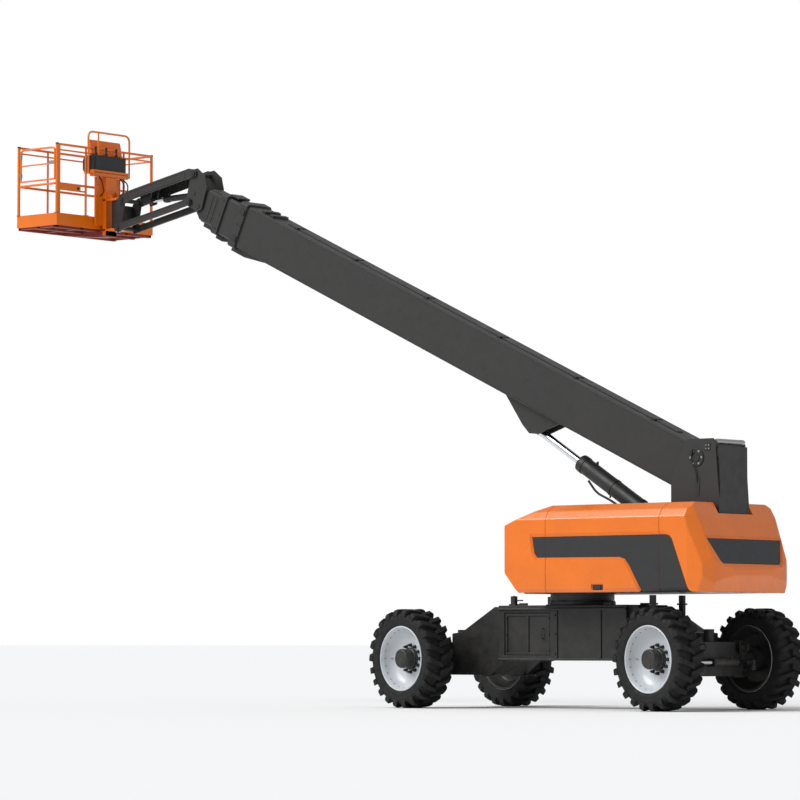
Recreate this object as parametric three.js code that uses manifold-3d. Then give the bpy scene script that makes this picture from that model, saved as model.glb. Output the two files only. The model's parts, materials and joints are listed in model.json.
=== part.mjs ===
// A self-propelled telescopic boom lift with a small articulating jib.
// Millimetres, +Z up. The boom points towards -X; -Y is the operator's left side.
import * as THREE from "three";
import { mergeVertices } from "three/addons/utils/BufferGeometryUtils.js";
import Module from "manifold-3d";

const wasm = await Module();
wasm.setup();
const { Manifold, Mesh: SolidMesh } = wasm;

// ---------------------------------------------------------------- driving dimensions

const GAP = 0.5; // between pieces that are fastened to each other
const RUNNING = 4; // radial play of a pin in its hole
const degrees = THREE.MathUtils.degToRad;

const chassis = {
  wheelbase: 3740,
  boxHalfLength: 970,
  boxHalfWidth: 410,
  bottom: 578,
  top: 1240,
  armHalfWidth: 350,
  armFlatEnd: 1080,
  armSlopeEnd: 1600,
  armSlopeTop: 920,
  armBottom: 400,
  recess: 25,
  lip: 22,
  lipHeight: 25,
};

const wheel = {
  track: 1850,
  tyreDiameter: 1200,
  tyreWidth: 380,
  rimDiameter: 790,
  rimWidth: 330,
  hubRadius: 115,
  hubReach: 178,
  parkedAngle: degrees(10),
};

const axle = {
  halfDepth: 120,
  bottom: 400,
  top: 800,
  halfWidth: 500,
  kingpinOffset: 620,
  kingpinRadius: 35,
  earThickness: 55,
  earReach: 85,
  steerArm: 220,
  capRadius: 62,
  capHeight: 150,
};

const slew = { radius: 400, bottom: 1243, split: 1303, top: 1374 };

const deck = { bottom: 1375, top: 1415, front: -380, rear: 2120, halfWidth: 850 };
const rearPlate = { front: 2215, rear: 2240, top: 3080 };

const cover = {
  wall: 22,
  inner: 345,
  side: 900,
  bottom: 1372,
  top: 2420,
  front: -560,
  rear: 2520,
  cornerAngle: degrees(40.5),
  frontSeam: 137,
  rearSeam: 1820,
  seamGap: 7,
  shoulder: 2250,
};

const upright = { inner: 270, thickness: 30, top: 3170 };

const boom = {
  angle: degrees(25.1),
  pivotX: 1920,
  pivotZ: 2950,
  pivotPin: 50,
  drop: 185,
  tail: 210,
  reach: 8137,
  outer: { width: 420, height: 570, wall: 15 },
  mid: { width: 360, height: 504, wall: 13, tail: -250, reach: 8520 },
  fly: { width: 284, height: 440, wall: 12, tail: -550, reach: 8810 },
  collar: 22,
  collarLength: 130,
};

const lift = {
  baseX: 1500,
  baseZ: 2000,
  eyeAlong: 2580,
  eyeDrop: 705,
  barrelRadius: 104,
  barrelLength: 1790,
  rodRadius: 48,
  eyeRadius: 58,
  basePin: 36,
  cheekInner: 90,
  cheekThickness: 25,
};

const head = {
  pinAlong: 8900,
  pinDrop: 235,
  pinRadius: 30,
  plateInner: 148,
  plateThickness: 20,
  pinHalf: 200,
  cheekInner: 108,
  cheekOuter: 139,
};

const jib = {
  pivotX: -6310,
  pivotZ: 6940,
  angle: degrees(-10.7),
  length: 1342,
  linkOffsetX: -80,
  linkOffsetZ: -360,
  wallInner: 174,
  wallThickness: 18,
  lugInner: 55,
  lugThickness: 20,
  pinRadius: 28,
  cylinderBaseDrop: 250,
  cylinderAlong: 1000,
  cylinderOffset: 90,
  barrelRadius: 42,
  barrelLength: 690,
  rodRadius: 22,
};

const platform = {
  rotatorX: -7870,
  rotatorRadius: 85,
  rotatorBottom: 6352,
  rotatorTop: 6708,
  shaftRadius: 30,
  plate: 28,
  panelFront: -8085,
  panelHalf: 240,
  postFront: -8062,
  postBack: -8000,
  postHalf: 105,
  neckHalf: 100,
  sideStart: 122,
  basketBack: -8110,
  basketDepth: 760,
  basketHalfWidth: 915,
  floorBottom: 6340,
  floorTop: 6372,
  railTop: 7442,
  midRail: 6900,
  toeBoard: 165,
  middlePost: 360,
  railRadius: 16,
  postRadius: 20,
  gateRadius: 14,
  gateTop: 7385,
  gateLow: 6960,
  consoleHalf: 310,
  consoleBottom: 7100,
  consoleTop: 7330,
  hoopHalf: 390,
  hoopTop: 7640,
};

const FACETS = { wheel: 28, pipe: 8, cylinder: 18, pin: 12 };

// ---------------------------------------------------------------- finishes

const finish = (color, roughness, metalness) =>
  new THREE.MeshStandardMaterial({ color, roughness, metalness });
const darkPaint = finish(0x3b3937, 0.55, 0.3);
const orangePaint = finish(0xf07d20, 0.4, 0.1);
const rimPaint = finish(0xd5d7da, 0.4, 0.4);
const rubber = finish(0x161616, 0.9, 0);
const chrome = finish(0xd8dade, 0.12, 1);
const castIron = finish(0x55575a, 0.6, 0.6);
const blackPlastic = finish(0x1a1a1b, 0.6, 0);

// ---------------------------------------------------------------- solids

function solidOf(geometry) {
  const bare = geometry.index ? geometry.toNonIndexed() : geometry.clone();
  bare.deleteAttribute("normal");
  bare.deleteAttribute("uv");
  const merged = mergeVertices(bare, 1e-3);
  return new Manifold(
    new SolidMesh({
      numProp: 3,
      vertProperties: merged.attributes.position.array,
      triVerts: new Uint32Array(merged.index.array),
    }),
  );
}

function geometryOf(solid) {
  const mesh = solid.getMesh();
  const geometry = new THREE.BufferGeometry();
  geometry.setAttribute("position", new THREE.BufferAttribute(mesh.vertProperties, 3));
  geometry.setIndex(new THREE.BufferAttribute(mesh.triVerts, 1));
  geometry.computeVertexNormals();
  return geometry;
}

const join = (...solids) => solids.reduce((whole, next) => whole.add(next));
const cut = (body, ...tools) => tools.reduce((left, tool) => left.subtract(tool), body);

function block(x0, x1, y0, y1, z0, z1) {
  const box = new THREE.BoxGeometry(x1 - x0, y1 - y0, z1 - z0);
  return solidOf(box.translate((x0 + x1) / 2, (y0 + y1) / 2, (z0 + z1) / 2));
}

function outline(points, holes = []) {
  const shape = new THREE.Shape(points.map(([a, b]) => new THREE.Vector2(a, b)));
  shape.holes = holes.map((hole) => new THREE.Path(hole.map(([a, b]) => new THREE.Vector2(a, b))));
  return shape;
}

const extrude = (shape, depth) =>
  new THREE.ExtrudeGeometry(shape, { depth, bevelEnabled: false, curveSegments: 8 });

// An outline in X and Z, as thick as y0 to y1, then turned about Z.
function sidePlate(points, y0, y1, holes = [], turn = 0) {
  const geometry = extrude(outline(points, holes), y1 - y0).rotateX(Math.PI / 2);
  return solidOf(geometry.translate(0, y1, 0).rotateZ(turn));
}

// An outline in X and Y, from z0 up to z1.
function floorPlate(points, z0, z1) {
  return solidOf(extrude(outline(points), z1 - z0).translate(0, 0, z0));
}

// An outline in Y and Z, from x0 to x1.
function crossPlate(points, x0, x1, holes) {
  const turn = new THREE.Matrix4().makeBasis(
    new THREE.Vector3(0, 1, 0),
    new THREE.Vector3(0, 0, 1),
    new THREE.Vector3(1, 0, 0),
  );
  const geometry = extrude(outline(points, holes), x1 - x0).applyMatrix4(turn);
  return solidOf(geometry.translate(x0, 0, 0));
}

// A round bar between two points.
function bar(from, to, radius, facets = FACETS.pin) {
  const a = new THREE.Vector3(...from);
  const b = new THREE.Vector3(...to);
  const along = b.clone().sub(a);
  const geometry = new THREE.CylinderGeometry(radius, radius, along.length(), facets);
  const up = new THREE.Vector3(0, 1, 0);
  const turn = new THREE.Quaternion().setFromUnitVectors(up, along.clone().normalize());
  const middle = a.clone().add(b).multiplyScalar(0.5);
  return solidOf(geometry.applyQuaternion(turn).translate(middle.x, middle.y, middle.z));
}

const crossBar = (x, z, halfWidth, radius, facets) =>
  bar([x, -halfWidth, z], [x, halfWidth, z], radius, facets);

// A profile of [radius, distance outwards] turned about the Y axis, with a flat facet at the bottom.
function turned(profile, facets) {
  const points = profile.map(([radius, along]) => new THREE.Vector2(radius, along));
  return solidOf(new THREE.LatheGeometry(points, facets, Math.PI / facets));
}

const mirrored = (points) => points.map(([a, b]) => [-a, b]).reverse();
const bothSides = (make) => join(make(1), make(-1));
const span = (side, inner, outer) => (side > 0 ? [inner, outer] : [-outer, -inner]);

function rectangle(halfWidth, halfHeight, corner, drop = 0) {
  const w = halfWidth;
  const h = halfHeight;
  const c = corner;
  const points = [
    [w, -h + c],
    [w, h - c],
    [w - c, h],
    [-w + c, h],
    [-w, h - c],
    [-w, -h + c],
    [-w + c, -h],
    [w - c, -h],
  ];
  return points.map(([y, z]) => [y, z - drop]);
}

// ---------------------------------------------------------------- scene graph

const machine = new THREE.Group();

function add(parent, name, solid, material) {
  const mesh = new THREE.Mesh(geometryOf(solid), material);
  mesh.name = name;
  parent.add(mesh);
}

function groupAt(parent, x, y, z) {
  const group = new THREE.Group();
  group.position.set(x, y, z);
  parent.add(group);
  return group;
}

// ---------------------------------------------------------------- chassis and axles

const axleX = chassis.wheelbase / 2;
const armEnd = axleX - axle.halfDepth - GAP;

function armProfile() {
  const root = chassis.boxHalfLength - 60;
  return [
    [root, chassis.top - 15],
    [root, chassis.armBottom + 178],
    [chassis.armFlatEnd + 60, chassis.armBottom],
    [armEnd, chassis.armBottom],
    [armEnd, chassis.armSlopeTop - 15],
    [chassis.armSlopeEnd, chassis.armSlopeTop],
    [chassis.armFlatEnd, chassis.top - 15],
  ].reverse();
}

function chassisFrame() {
  const c = chassis;
  const box = block(-c.boxHalfLength, c.boxHalfLength, -c.boxHalfWidth, c.boxHalfWidth, c.bottom, c.top);
  const arm = armProfile();
  const rearArm = sidePlate(arm, -c.armHalfWidth, c.armHalfWidth);
  const frontArm = sidePlate(mirrored(arm), -c.armHalfWidth, c.armHalfWidth);
  const lipHalf = c.boxHalfWidth + c.lip;
  const edge = (z) => block(-c.boxHalfLength, c.boxHalfLength, -lipHalf, lipHalf, z, z + c.lipHeight);
  const pockets = [1, -1].map((side) => {
    const [y0, y1] = span(side, c.boxHalfWidth - c.recess, c.boxHalfWidth + 60);
    return block(-c.boxHalfLength + 90, -180, y0, y1, c.bottom + 60, c.top - 90);
  });
  return cut(join(box, rearArm, frontArm, edge(c.bottom), edge(c.top - 60)), ...pockets);
}

// One axle: a beam across the machine with a forked end for each kingpin. end is -1 at the front.
function axleBeam(end) {
  const x = end * axleX;
  const a = axle;
  const beam = block(x - a.halfDepth, x + a.halfDepth, -a.halfWidth, a.halfWidth, a.bottom, a.top);
  const ears = bothSides((side) => {
    const [y0, y1] = span(side, a.halfWidth - 60, a.kingpinOffset + a.earReach);
    const upper = block(x - 85, x + 85, y0, y1, a.top - a.earThickness, a.top);
    const lower = block(x - 85, x + 85, y0, y1, a.bottom, a.bottom + a.earThickness);
    return join(upper, lower);
  });
  const bores = [1, -1].map((side) =>
    bar(
      [x, side * a.kingpinOffset, a.bottom - 50],
      [x, side * a.kingpinOffset, a.top + 50],
      a.kingpinRadius + RUNNING,
    ),
  );
  const lugX = x + end * a.halfDepth;
  const lugs = bothSides((side) => {
    const [y0, y1] = span(side, 150, 180);
    const [x0, x1] = end > 0 ? [lugX - 20, lugX + 50] : [lugX - 50, lugX + 20];
    return block(x0, x1, y0, y1, steerHeight - 45, steerHeight + 45);
  });
  const cap = bar([x, 0, a.top - 10], [x, 0, a.top + a.capHeight], a.capRadius, 16);
  return cut(join(beam, ears, lugs, cap), ...bores);
}

const steerHeight = 560;
const steerX = axleX + axle.steerArm * Math.cos(wheel.parkedAngle);
const steerShift = axle.steerArm * Math.sin(wheel.parkedAngle);

function steerBarrel(end) {
  const x = end * steerX;
  const body = bar([x, -235, steerHeight], [x, 235, steerHeight], 46, 18);
  const bore = bar([x, -260, steerHeight], [x, 260, steerHeight], 22 + RUNNING);
  const lugEdge = end * (axleX + axle.halfDepth + 50 + GAP);
  const trimmed = end > 0 ? block(0, lugEdge, -300, 300, 400, 700) : block(lugEdge, 0, -300, 300, 400, 700);
  return cut(body, bore, trimmed);
}

// The double-ended rod that carries both steering arms.
function steerRod(end) {
  const x = end * steerX;
  const shift = -end * steerShift;
  const reach = axle.kingpinOffset;
  const shaft = bar([x, -reach + shift, steerHeight], [x, reach + shift, steerHeight], 22);
  const eyes = bothSides((side) => {
    const y = side * reach + shift;
    return bar([x, y, steerHeight - 27], [x, y, steerHeight + 30], 38, 16);
  });
  return join(shaft, eyes);
}

// The knuckle's own frame has the kingpin at its origin and the spindle along +Y.
function knuckle(end, side) {
  const a = axle;
  const middle = (a.bottom + a.top) / 2;
  const low = a.bottom + a.earThickness + 5;
  const high = a.top - a.earThickness - 5;
  const barrel = bar([0, 0, low], [0, 0, high], 82, 20);
  const kingpin = bar([0, 0, a.bottom - 18], [0, 0, a.top + 22], a.kingpinRadius);
  const hubStart = wheel.track / 2 - a.kingpinOffset;
  const spindle = bar([0, 0, middle], [0, hubStart - 32, middle], 95, 20);
  const flange = bar([0, hubStart - 150, middle], [0, hubStart - 32, middle], 150, 24);
  const reach = end * side * a.steerArm;
  const web = bar([0, 0, steerHeight - 60], [reach, 0, steerHeight - 60], 24, 8);
  const boss = bar([reach, 0, steerHeight - 92], [reach, 0, steerHeight - 32], 40, 16);
  return join(barrel, kingpin, spindle, flange, web, boss);
}

const rimRadius = wheel.rimDiameter / 2;
const rimHalf = wheel.rimWidth / 2;

function wheelRim() {
  const r = rimRadius;
  const h = rimHalf;
  const profile = [
    [0, -25],
    [r - 130, -25],
    [r - 95, -45],
    [r - 42, -h + 20],
    [r - 25, -h],
    [r, -h],
    [r - 20, -h + 34],
    [r - 20, h - 34],
    [r, h],
    [r - 25, h],
    [r - 50, 20],
    [r - 95, 5],
    [185, 0],
    [wheel.hubRadius, 40],
    [wheel.hubRadius, wheel.hubReach - 20],
    [wheel.hubRadius - 20, wheel.hubReach],
    [0, wheel.hubReach],
  ];
  return turned(profile, FACETS.wheel);
}

// The tread's flats, not its corners, lie at the tyre's radius, so that the wheel stands on a flat.
function tyre() {
  const r = wheel.tyreDiameter / 2 / Math.cos(Math.PI / FACETS.wheel);
  const w = wheel.tyreWidth / 2;
  const bead = rimRadius + 1;
  const h = rimHalf;
  const profile = [
    [bead, -h],
    [bead + 110, -w],
    [r - 28, -w + 6],
    [r, -w + 22],
    [r, w - 22],
    [r - 28, w - 6],
    [bead + 110, w],
    [bead, h],
    [bead, -h],
  ];
  return turned(profile, FACETS.wheel);
}

const CORNERS = [
  { name: "front_left", end: -1, side: -1 },
  { name: "front_right", end: -1, side: 1 },
  { name: "rear_left", end: 1, side: -1 },
  { name: "rear_right", end: 1, side: 1 },
];

function buildCorner({ name, end, side }) {
  const pivot = groupAt(machine, end * axleX, side * axle.kingpinOffset, 0);
  pivot.rotation.z = -wheel.parkedAngle + (side < 0 ? Math.PI : 0);
  add(pivot, "knuckle_" + name, knuckle(end, side), castIron);
  const hub = groupAt(pivot, 0, wheel.track / 2 - axle.kingpinOffset, wheel.tyreDiameter / 2);
  add(hub, "rim_" + name, wheelRim(), rimPaint);
  add(hub, "tyre_" + name, tyre(), rubber);
}

add(machine, "chassis_frame", chassisFrame(), darkPaint);
add(machine, "front_axle", axleBeam(-1), darkPaint);
add(machine, "rear_axle", axleBeam(1), darkPaint);
add(machine, "steer_cylinder_front", steerBarrel(-1), darkPaint);
add(machine, "steer_cylinder_rear", steerBarrel(1), darkPaint);
add(machine, "steer_rod_front", steerRod(-1), chrome);
add(machine, "steer_rod_rear", steerRod(1), chrome);
CORNERS.forEach(buildCorner);
const ringLow = bar([0, 0, slew.bottom], [0, 0, slew.split - 5], slew.radius, 40);
add(machine, "slew_ring", ringLow, castIron);

// ---------------------------------------------------------------- turntable

const turntable = groupAt(machine, 0, 0, 0);

const uprightProfile = [
  [deck.front + 60, deck.top - 10],
  [rearPlate.rear, deck.top - 10],
  [rearPlate.rear, 2420],
  [2195, rearPlate.top + 30],
  [2150, upright.top],
  [1780, upright.top],
  [1550, 2700],
  [1550, 2420],
  [1150, 2180],
  [-200, 1800],
  [deck.front + 60, 1700],
];

function turntableFrame() {
  const d = deck;
  const u = upright;
  const plateOut = u.inner + u.thickness;
  const floor = floorPlate(
    [
      [d.front, -620],
      [d.front + 160, -d.halfWidth],
      [d.rear, -d.halfWidth],
      [d.rear, d.halfWidth],
      [d.front + 160, d.halfWidth],
      [d.front, 620],
    ],
    d.bottom,
    d.top,
  );
  const ring = bar([0, 0, slew.split], [0, 0, slew.top + 10], slew.radius - 15, 40);
  const plates = bothSides((side) => sidePlate(uprightProfile, ...span(side, u.inner, plateOut)));
  const pivotPin = crossBar(boom.pivotX, boom.pivotZ, plateOut - 5, boom.pivotPin, 20);
  const basePin = crossBar(lift.baseX, lift.baseZ, plateOut - 5, lift.basePin);
  const r = rearPlate;
  const closing = block(r.front, r.rear - 2, -u.inner - 5, u.inner + 5, d.top + 20, r.top);
  return join(floor, ring, plates, pivotPin, basePin, closing);
}

const plan = [
  [cover.front - 60, cover.inner],
  [cover.front - 60, 700],
  [cover.front + 80, cover.side],
  [2210, cover.side],
  [2395, cover.side - 52],
  [cover.rear - 30, 700],
  [cover.rear, 350],
  [cover.rear, -1],
  [cover.rearSeam - 10, -1],
  [cover.rearSeam - 10, cover.inner],
].reverse();

const sideView = [
  [cover.front - 70, 2090],
  [cover.front - 15, 1725],
  [cover.front + 285, cover.bottom],
  [cover.rear - 80, cover.bottom],
  [cover.rear, 1560],
  [cover.rear, 1640],
  [cover.rear - 135, 2000],
  [cover.rear - 230, 2240],
  [cover.rear - 330, cover.top],
  [95, cover.top],
  [cover.front - 40, 2140],
];

// The rear corner leans inwards as it rises: an outline across the corner, outwards and up.
const cornerView = [
  [-3000, 1300],
  [2320, 1300],
  [2382, 1600],
  [2382, 1640],
  [2240, 2260],
  [2134, 2500],
  [-3000, 2500],
];

const section = [
  [-2, cover.bottom - 1],
  [cover.side - 25, cover.bottom - 1],
  [cover.side, cover.bottom + 60],
  [cover.side, cover.shoulder],
  [cover.side - 60, cover.shoulder + 95],
  [cover.side - 190, cover.top],
  [-2, cover.top],
];

// An outline moved inwards by a wall's thickness, side by side.
function inset(points, wall) {
  const count = points.length;
  return points.map((point, i) => {
    const before = points[(i + count - 1) % count];
    const after = points[(i + 1) % count];
    const normals = [
      [before, point],
      [point, after],
    ].map(([a, b]) => new THREE.Vector2(-(b[1] - a[1]), b[0] - a[0]).normalize());
    const [m, n] = normals;
    const scale = wall / (1 + m.dot(n));
    return [point[0] + (m.x + n.x) * scale, point[1] + (m.y + n.y) * scale];
  });
}

function bodyShape(wall) {
  const across = sidePlate(inset(sideView, wall), -1, cover.side + 5);
  const above = floorPlate(inset(plan, wall), cover.bottom - 30, cover.top + 30);
  const along = crossPlate(inset(section, wall), cover.front - 200, cover.rear + 100);
  const corner = sidePlate(inset(cornerView, wall), -4000, 4000, [], cover.cornerAngle);
  return across.intersect(above).intersect(along).intersect(corner);
}

const outerBody = bodyShape(0);
// The hollow runs out through the bottom and through the inner edge.
const hollow = join(
  bodyShape(cover.wall),
  bodyShape(cover.wall).translate([0, -60, 0]),
  bodyShape(cover.wall).translate([0, 0, -60]),
  bodyShape(cover.wall).translate([0, -60, -60]),
);
const shell = cut(outerBody, hollow);
const between = (x0, x1) => block(x0, x1, cover.inner - 1, cover.side + 5, cover.bottom - 50, cover.top + 50);

const frontSeam = cover.frontSeam;
const rearSeam = cover.rearSeam;
const frontCover = shell.intersect(between(cover.front - 100, frontSeam));
const sideDoor = shell.intersect(between(frontSeam + cover.seamGap, rearSeam - cover.seamGap));

function counterweight() {
  const half = outerBody.intersect(
    block(rearSeam, cover.rear + 50, 0, cover.side + 5, cover.bottom - 50, cover.top + 50),
  );
  const whole = half.add(half.mirror([0, 1, 0]));
  const slotEnd = rearPlate.rear + 22;
  const slot = block(rearSeam - 50, slotEnd, -cover.inner, cover.inner, cover.bottom - 60, cover.top + 60);
  const deckRoom = block(
    rearSeam - 50,
    deck.rear + 30,
    -deck.halfWidth - GAP,
    deck.halfWidth + GAP,
    cover.bottom - 60,
    deck.top + GAP,
  );
  return cut(whole, slot, deckRoom);
}

const onSide = (solid, side) => (side > 0 ? solid : solid.mirror([0, 1, 0]));

add(turntable, "turntable_frame", turntableFrame(), darkPaint);
add(turntable, "counterweight", counterweight(), orangePaint);
add(turntable, "front_cover_right", onSide(frontCover, 1), orangePaint);
add(turntable, "front_cover_left", onSide(frontCover, -1), orangePaint);
add(turntable, "side_door_right", onSide(sideDoor, 1), orangePaint);
add(turntable, "side_door_left", onSide(sideDoor, -1), orangePaint);
const engineBlock = block(500, 1500, 400, 800, deck.top + GAP, 2120);
add(turntable, "engine", engineBlock, castIron);

// ---------------------------------------------------------------- boom

const boomArm = groupAt(turntable, boom.pivotX, 0, boom.pivotZ);
boomArm.rotation.y = boom.angle;

function boxTube({ width, height, wall }, x0, x1, grow = 0) {
  const outside = rectangle(width / 2 + grow, height / 2 + grow, 24, boom.drop);
  const inside = rectangle(width / 2 - wall, height / 2 - wall, 14, boom.drop).reverse();
  return crossPlate(outside, x0, x1, [inside]);
}

function boomOuter() {
  const b = boom;
  const belly = -b.drop - b.outer.height / 2;
  const tube = boxTube(b.outer, -b.reach, b.tail);
  const collar = boxTube(b.outer, -b.reach, -b.reach + b.collarLength, b.collar);
  const bracket = [
    [-3140, belly + 8],
    [-2700, belly - 250],
    [-2560, belly - 305],
    [-2430, belly - 260],
    [-2150, belly + 8],
  ];
  const cheeks = bothSides((side) =>
    sidePlate(bracket, ...span(side, lift.cheekInner, lift.cheekInner + lift.cheekThickness)),
  );
  const wedge = [
    [-b.reach, belly + 8],
    [-b.reach, belly - 85],
    [-b.reach + 260, belly - 85],
    [-b.reach + 780, belly + 8],
  ];
  const stiffener = sidePlate(wedge, -120, 120);
  const pivotTube = crossBar(0, 0, b.outer.width / 2 + 30, b.pivotPin + 45, 24);
  const pivotHole = crossBar(0, 0, b.outer.width, b.pivotPin + RUNNING, 20);
  return cut(join(tube, collar, cheeks, stiffener, pivotTube), pivotHole);
}

function boomMid() {
  const m = boom.mid;
  const tube = boxTube(m, -m.reach, m.tail);
  const collar = boxTube(m, -m.reach, -m.reach + 110, boom.collar);
  return join(tube, collar);
}

function boomFly() {
  const f = boom.fly;
  const tube = boxTube(f, -f.reach, f.tail);
  const cheek = [
    [-f.reach + 160, -boom.drop - 200],
    [-f.reach + 160, -boom.drop + 200],
    [-f.reach - 40, -boom.drop + 170],
    [-head.pinAlong - 60, -head.pinDrop + 50],
    [-head.pinAlong - 60, -head.pinDrop - 50],
    [-f.reach - 20, -boom.drop - 200],
  ];
  cheek.reverse();
  const cheeks = bothSides((side) => sidePlate(cheek, ...span(side, head.cheekInner, head.cheekOuter)));
  const hole = crossBar(-head.pinAlong, -head.pinDrop, 300, head.pinRadius + RUNNING);
  return cut(join(tube, cheeks), hole);
}

add(boomArm, "boom_outer", boomOuter(), darkPaint);
add(boomArm, "boom_mid", boomMid(), darkPaint);
add(boomArm, "boom_fly", boomFly(), darkPaint);

// ---------------------------------------------------------------- cylinders

// A point of the boom's frame in the machine's frame.
function onBoom(along, drop) {
  const c = Math.cos(boom.angle);
  const s = Math.sin(boom.angle);
  return new THREE.Vector2(
    boom.pivotX - along * c - drop * s,
    boom.pivotZ + along * s - drop * c,
  );
}

// A cylinder from its base pin towards its rod's eye, built along -X in a group turned to its line.
function cylinderGroup(parent, base, eye) {
  const group = groupAt(parent, base.x, 0, base.y);
  group.rotation.y = Math.atan2(eye.y - base.y, base.x - eye.x);
  return group;
}

function barrelSolid({ barrelRadius, barrelLength, rodRadius, basePin, eyeHalf }) {
  const deadEnd = basePin + 110;
  const tube = bar([-basePin - 70, 0, 0], [-barrelLength, 0, 0], barrelRadius, FACETS.cylinder);
  const gland = bar([-barrelLength + 90, 0, 0], [-barrelLength, 0, 0], barrelRadius + 8, FACETS.cylinder);
  const eye = crossBar(0, 0, eyeHalf, basePin + 45, 20);
  const neck = block(-basePin - 90, -basePin, -eyeHalf * 0.7, eyeHalf * 0.7, -basePin - 20, basePin + 20);
  const pinHole = crossBar(0, 0, eyeHalf + 50, basePin + RUNNING);
  const bore = bar([-deadEnd, 0, 0], [-barrelLength - 20, 0, 0], rodRadius + RUNNING, FACETS.pin);
  return cut(join(tube, gland, eye, neck), pinHole, bore);
}

function rodSolid({ rodRadius, eyeRadius, eyeHalf, start, length }) {
  const shaft = bar([-start, 0, 0], [-length + eyeRadius * 0.6, 0, 0], rodRadius, FACETS.pin);
  const eye = crossBar(-length, 0, eyeHalf, eyeRadius, 20);
  const neck = -length + eyeRadius * 0.5;
  const collar = bar([neck + eyeRadius * 1.2, 0, 0], [neck, 0, 0], eyeRadius * 0.9, 16);
  return join(shaft, eye, collar);
}

const liftBase = new THREE.Vector2(lift.baseX, lift.baseZ);
const liftEye = onBoom(lift.eyeAlong, lift.eyeDrop);
const liftLength = liftBase.distanceTo(liftEye);
const liftGroup = cylinderGroup(turntable, liftBase, liftEye);
add(liftGroup, "lift_cylinder_barrel", barrelSolid({ ...lift, eyeHalf: 120 }), darkPaint);
const liftRod = rodSolid({ ...lift, eyeHalf: 78, start: 600, length: liftLength });
add(liftGroup, "lift_cylinder_rod", liftRod, chrome);

// ---------------------------------------------------------------- jib

const headPin = onBoom(head.pinAlong, head.pinDrop);
const jibTop = new THREE.Vector2(jib.pivotX, jib.pivotZ);
const linkTop = new THREE.Vector2(jib.pivotX + jib.linkOffsetX, jib.pivotZ + jib.linkOffsetZ);
const jibBase = new THREE.Vector2(jib.pivotX, jib.pivotZ - jib.cylinderBaseDrop);
const jibRun = new THREE.Vector2(-Math.cos(jib.angle), Math.sin(jib.angle)).multiplyScalar(jib.length);
const armTip = jibTop.clone().add(jibRun);
const linkTip = linkTop.clone().add(jibRun);

function jibHead() {
  const h = head;
  const outside = h.plateInner + h.plateThickness;
  const profile = [
    [headPin.x + 70, headPin.y - 40],
    [headPin.x - 10, headPin.y - 75],
    [linkTop.x - 40, linkTop.y - 45],
    [linkTop.x - 62, linkTop.y + 20],
    [jibTop.x - 62, jibTop.y - 20],
    [jibTop.x - 40, jibTop.y + 62],
    [jibTop.x + 60, jibTop.y + 72],
    [jibTop.x + 190, jibTop.y - 30],
    [jibTop.x + 230, jibTop.y - 190],
  ];
  profile.reverse();
  const plates = bothSides((side) => sidePlate(profile, ...span(side, h.plateInner, outside)));
  const pins = [
    crossBar(headPin.x, headPin.y, outside + 8, h.pinRadius),
    crossBar(jibTop.x, jibTop.y, h.pinHalf, jib.pinRadius),
    crossBar(jibBase.x, jibBase.y, outside + 8, jib.pinRadius),
  ];
  return join(plates, stubPins(linkTop), ...pins);
}

// Two short pins, one on each side, so that the cylinder can swing between them.
function stubPins(centre) {
  return bothSides((side) => {
    const [y0, y1] = span(side, head.plateInner - 2, head.pinHalf);
    return bar([centre.x, y0, centre.y], [centre.x, y1, centre.y], jib.pinRadius);
  });
}

// The upper arm straddles the head and the bracket: two walls joined by a top plate, from which
// the cylinder's lugs hang. Built along -X.
function jibArm() {
  const j = jib;
  const outer = j.wallInner + j.wallThickness;
  const wallView = [
    [50, -40],
    [62, 20],
    [20, 62],
    [-60, 92],
    [-j.length + 130, 92],
    [-j.length - 40, 52],
    [-j.length - 60, 0],
    [-j.length - 40, -50],
    [-j.length + 30, -62],
    [-j.length + 180, -40],
    [-160, -36],
  ].reverse();
  const walls = bothSides((side) => sidePlate(wallView, ...span(side, j.wallInner, outer)));
  const top = block(-j.length + 190, -180, -outer + 4, outer - 4, 74, 90);
  const lugView = [
    [-j.cylinderAlong - 60, -140],
    [-j.cylinderAlong + 55, -140],
    [-j.cylinderAlong + 150, 80],
    [-j.cylinderAlong - 120, 80],
  ];
  const lugs = bothSides((side) =>
    sidePlate(lugView, ...span(side, j.lugInner, j.lugInner + j.lugThickness)),
  );
  const holes = [
    crossBar(0, 0, 300, j.pinRadius + RUNNING),
    crossBar(-j.length, 0, 300, j.pinRadius + RUNNING),
  ];
  return cut(join(walls, top, lugs), ...holes);
}

function jibLink(side) {
  const j = jib;
  const profile = [
    [45, -20],
    [45, 20],
    [20, 45],
    [-j.length - 20, 45],
    [-j.length - 45, 20],
    [-j.length - 45, -20],
    [-j.length - 20, -45],
    [20, -45],
  ];
  const plate = sidePlate(profile, ...span(side, j.wallInner, j.wallInner + j.wallThickness));
  const holes = [0, -j.length].map((x) => crossBar(x, 0, 300, j.pinRadius + RUNNING));
  return cut(plate, ...holes);
}

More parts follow.
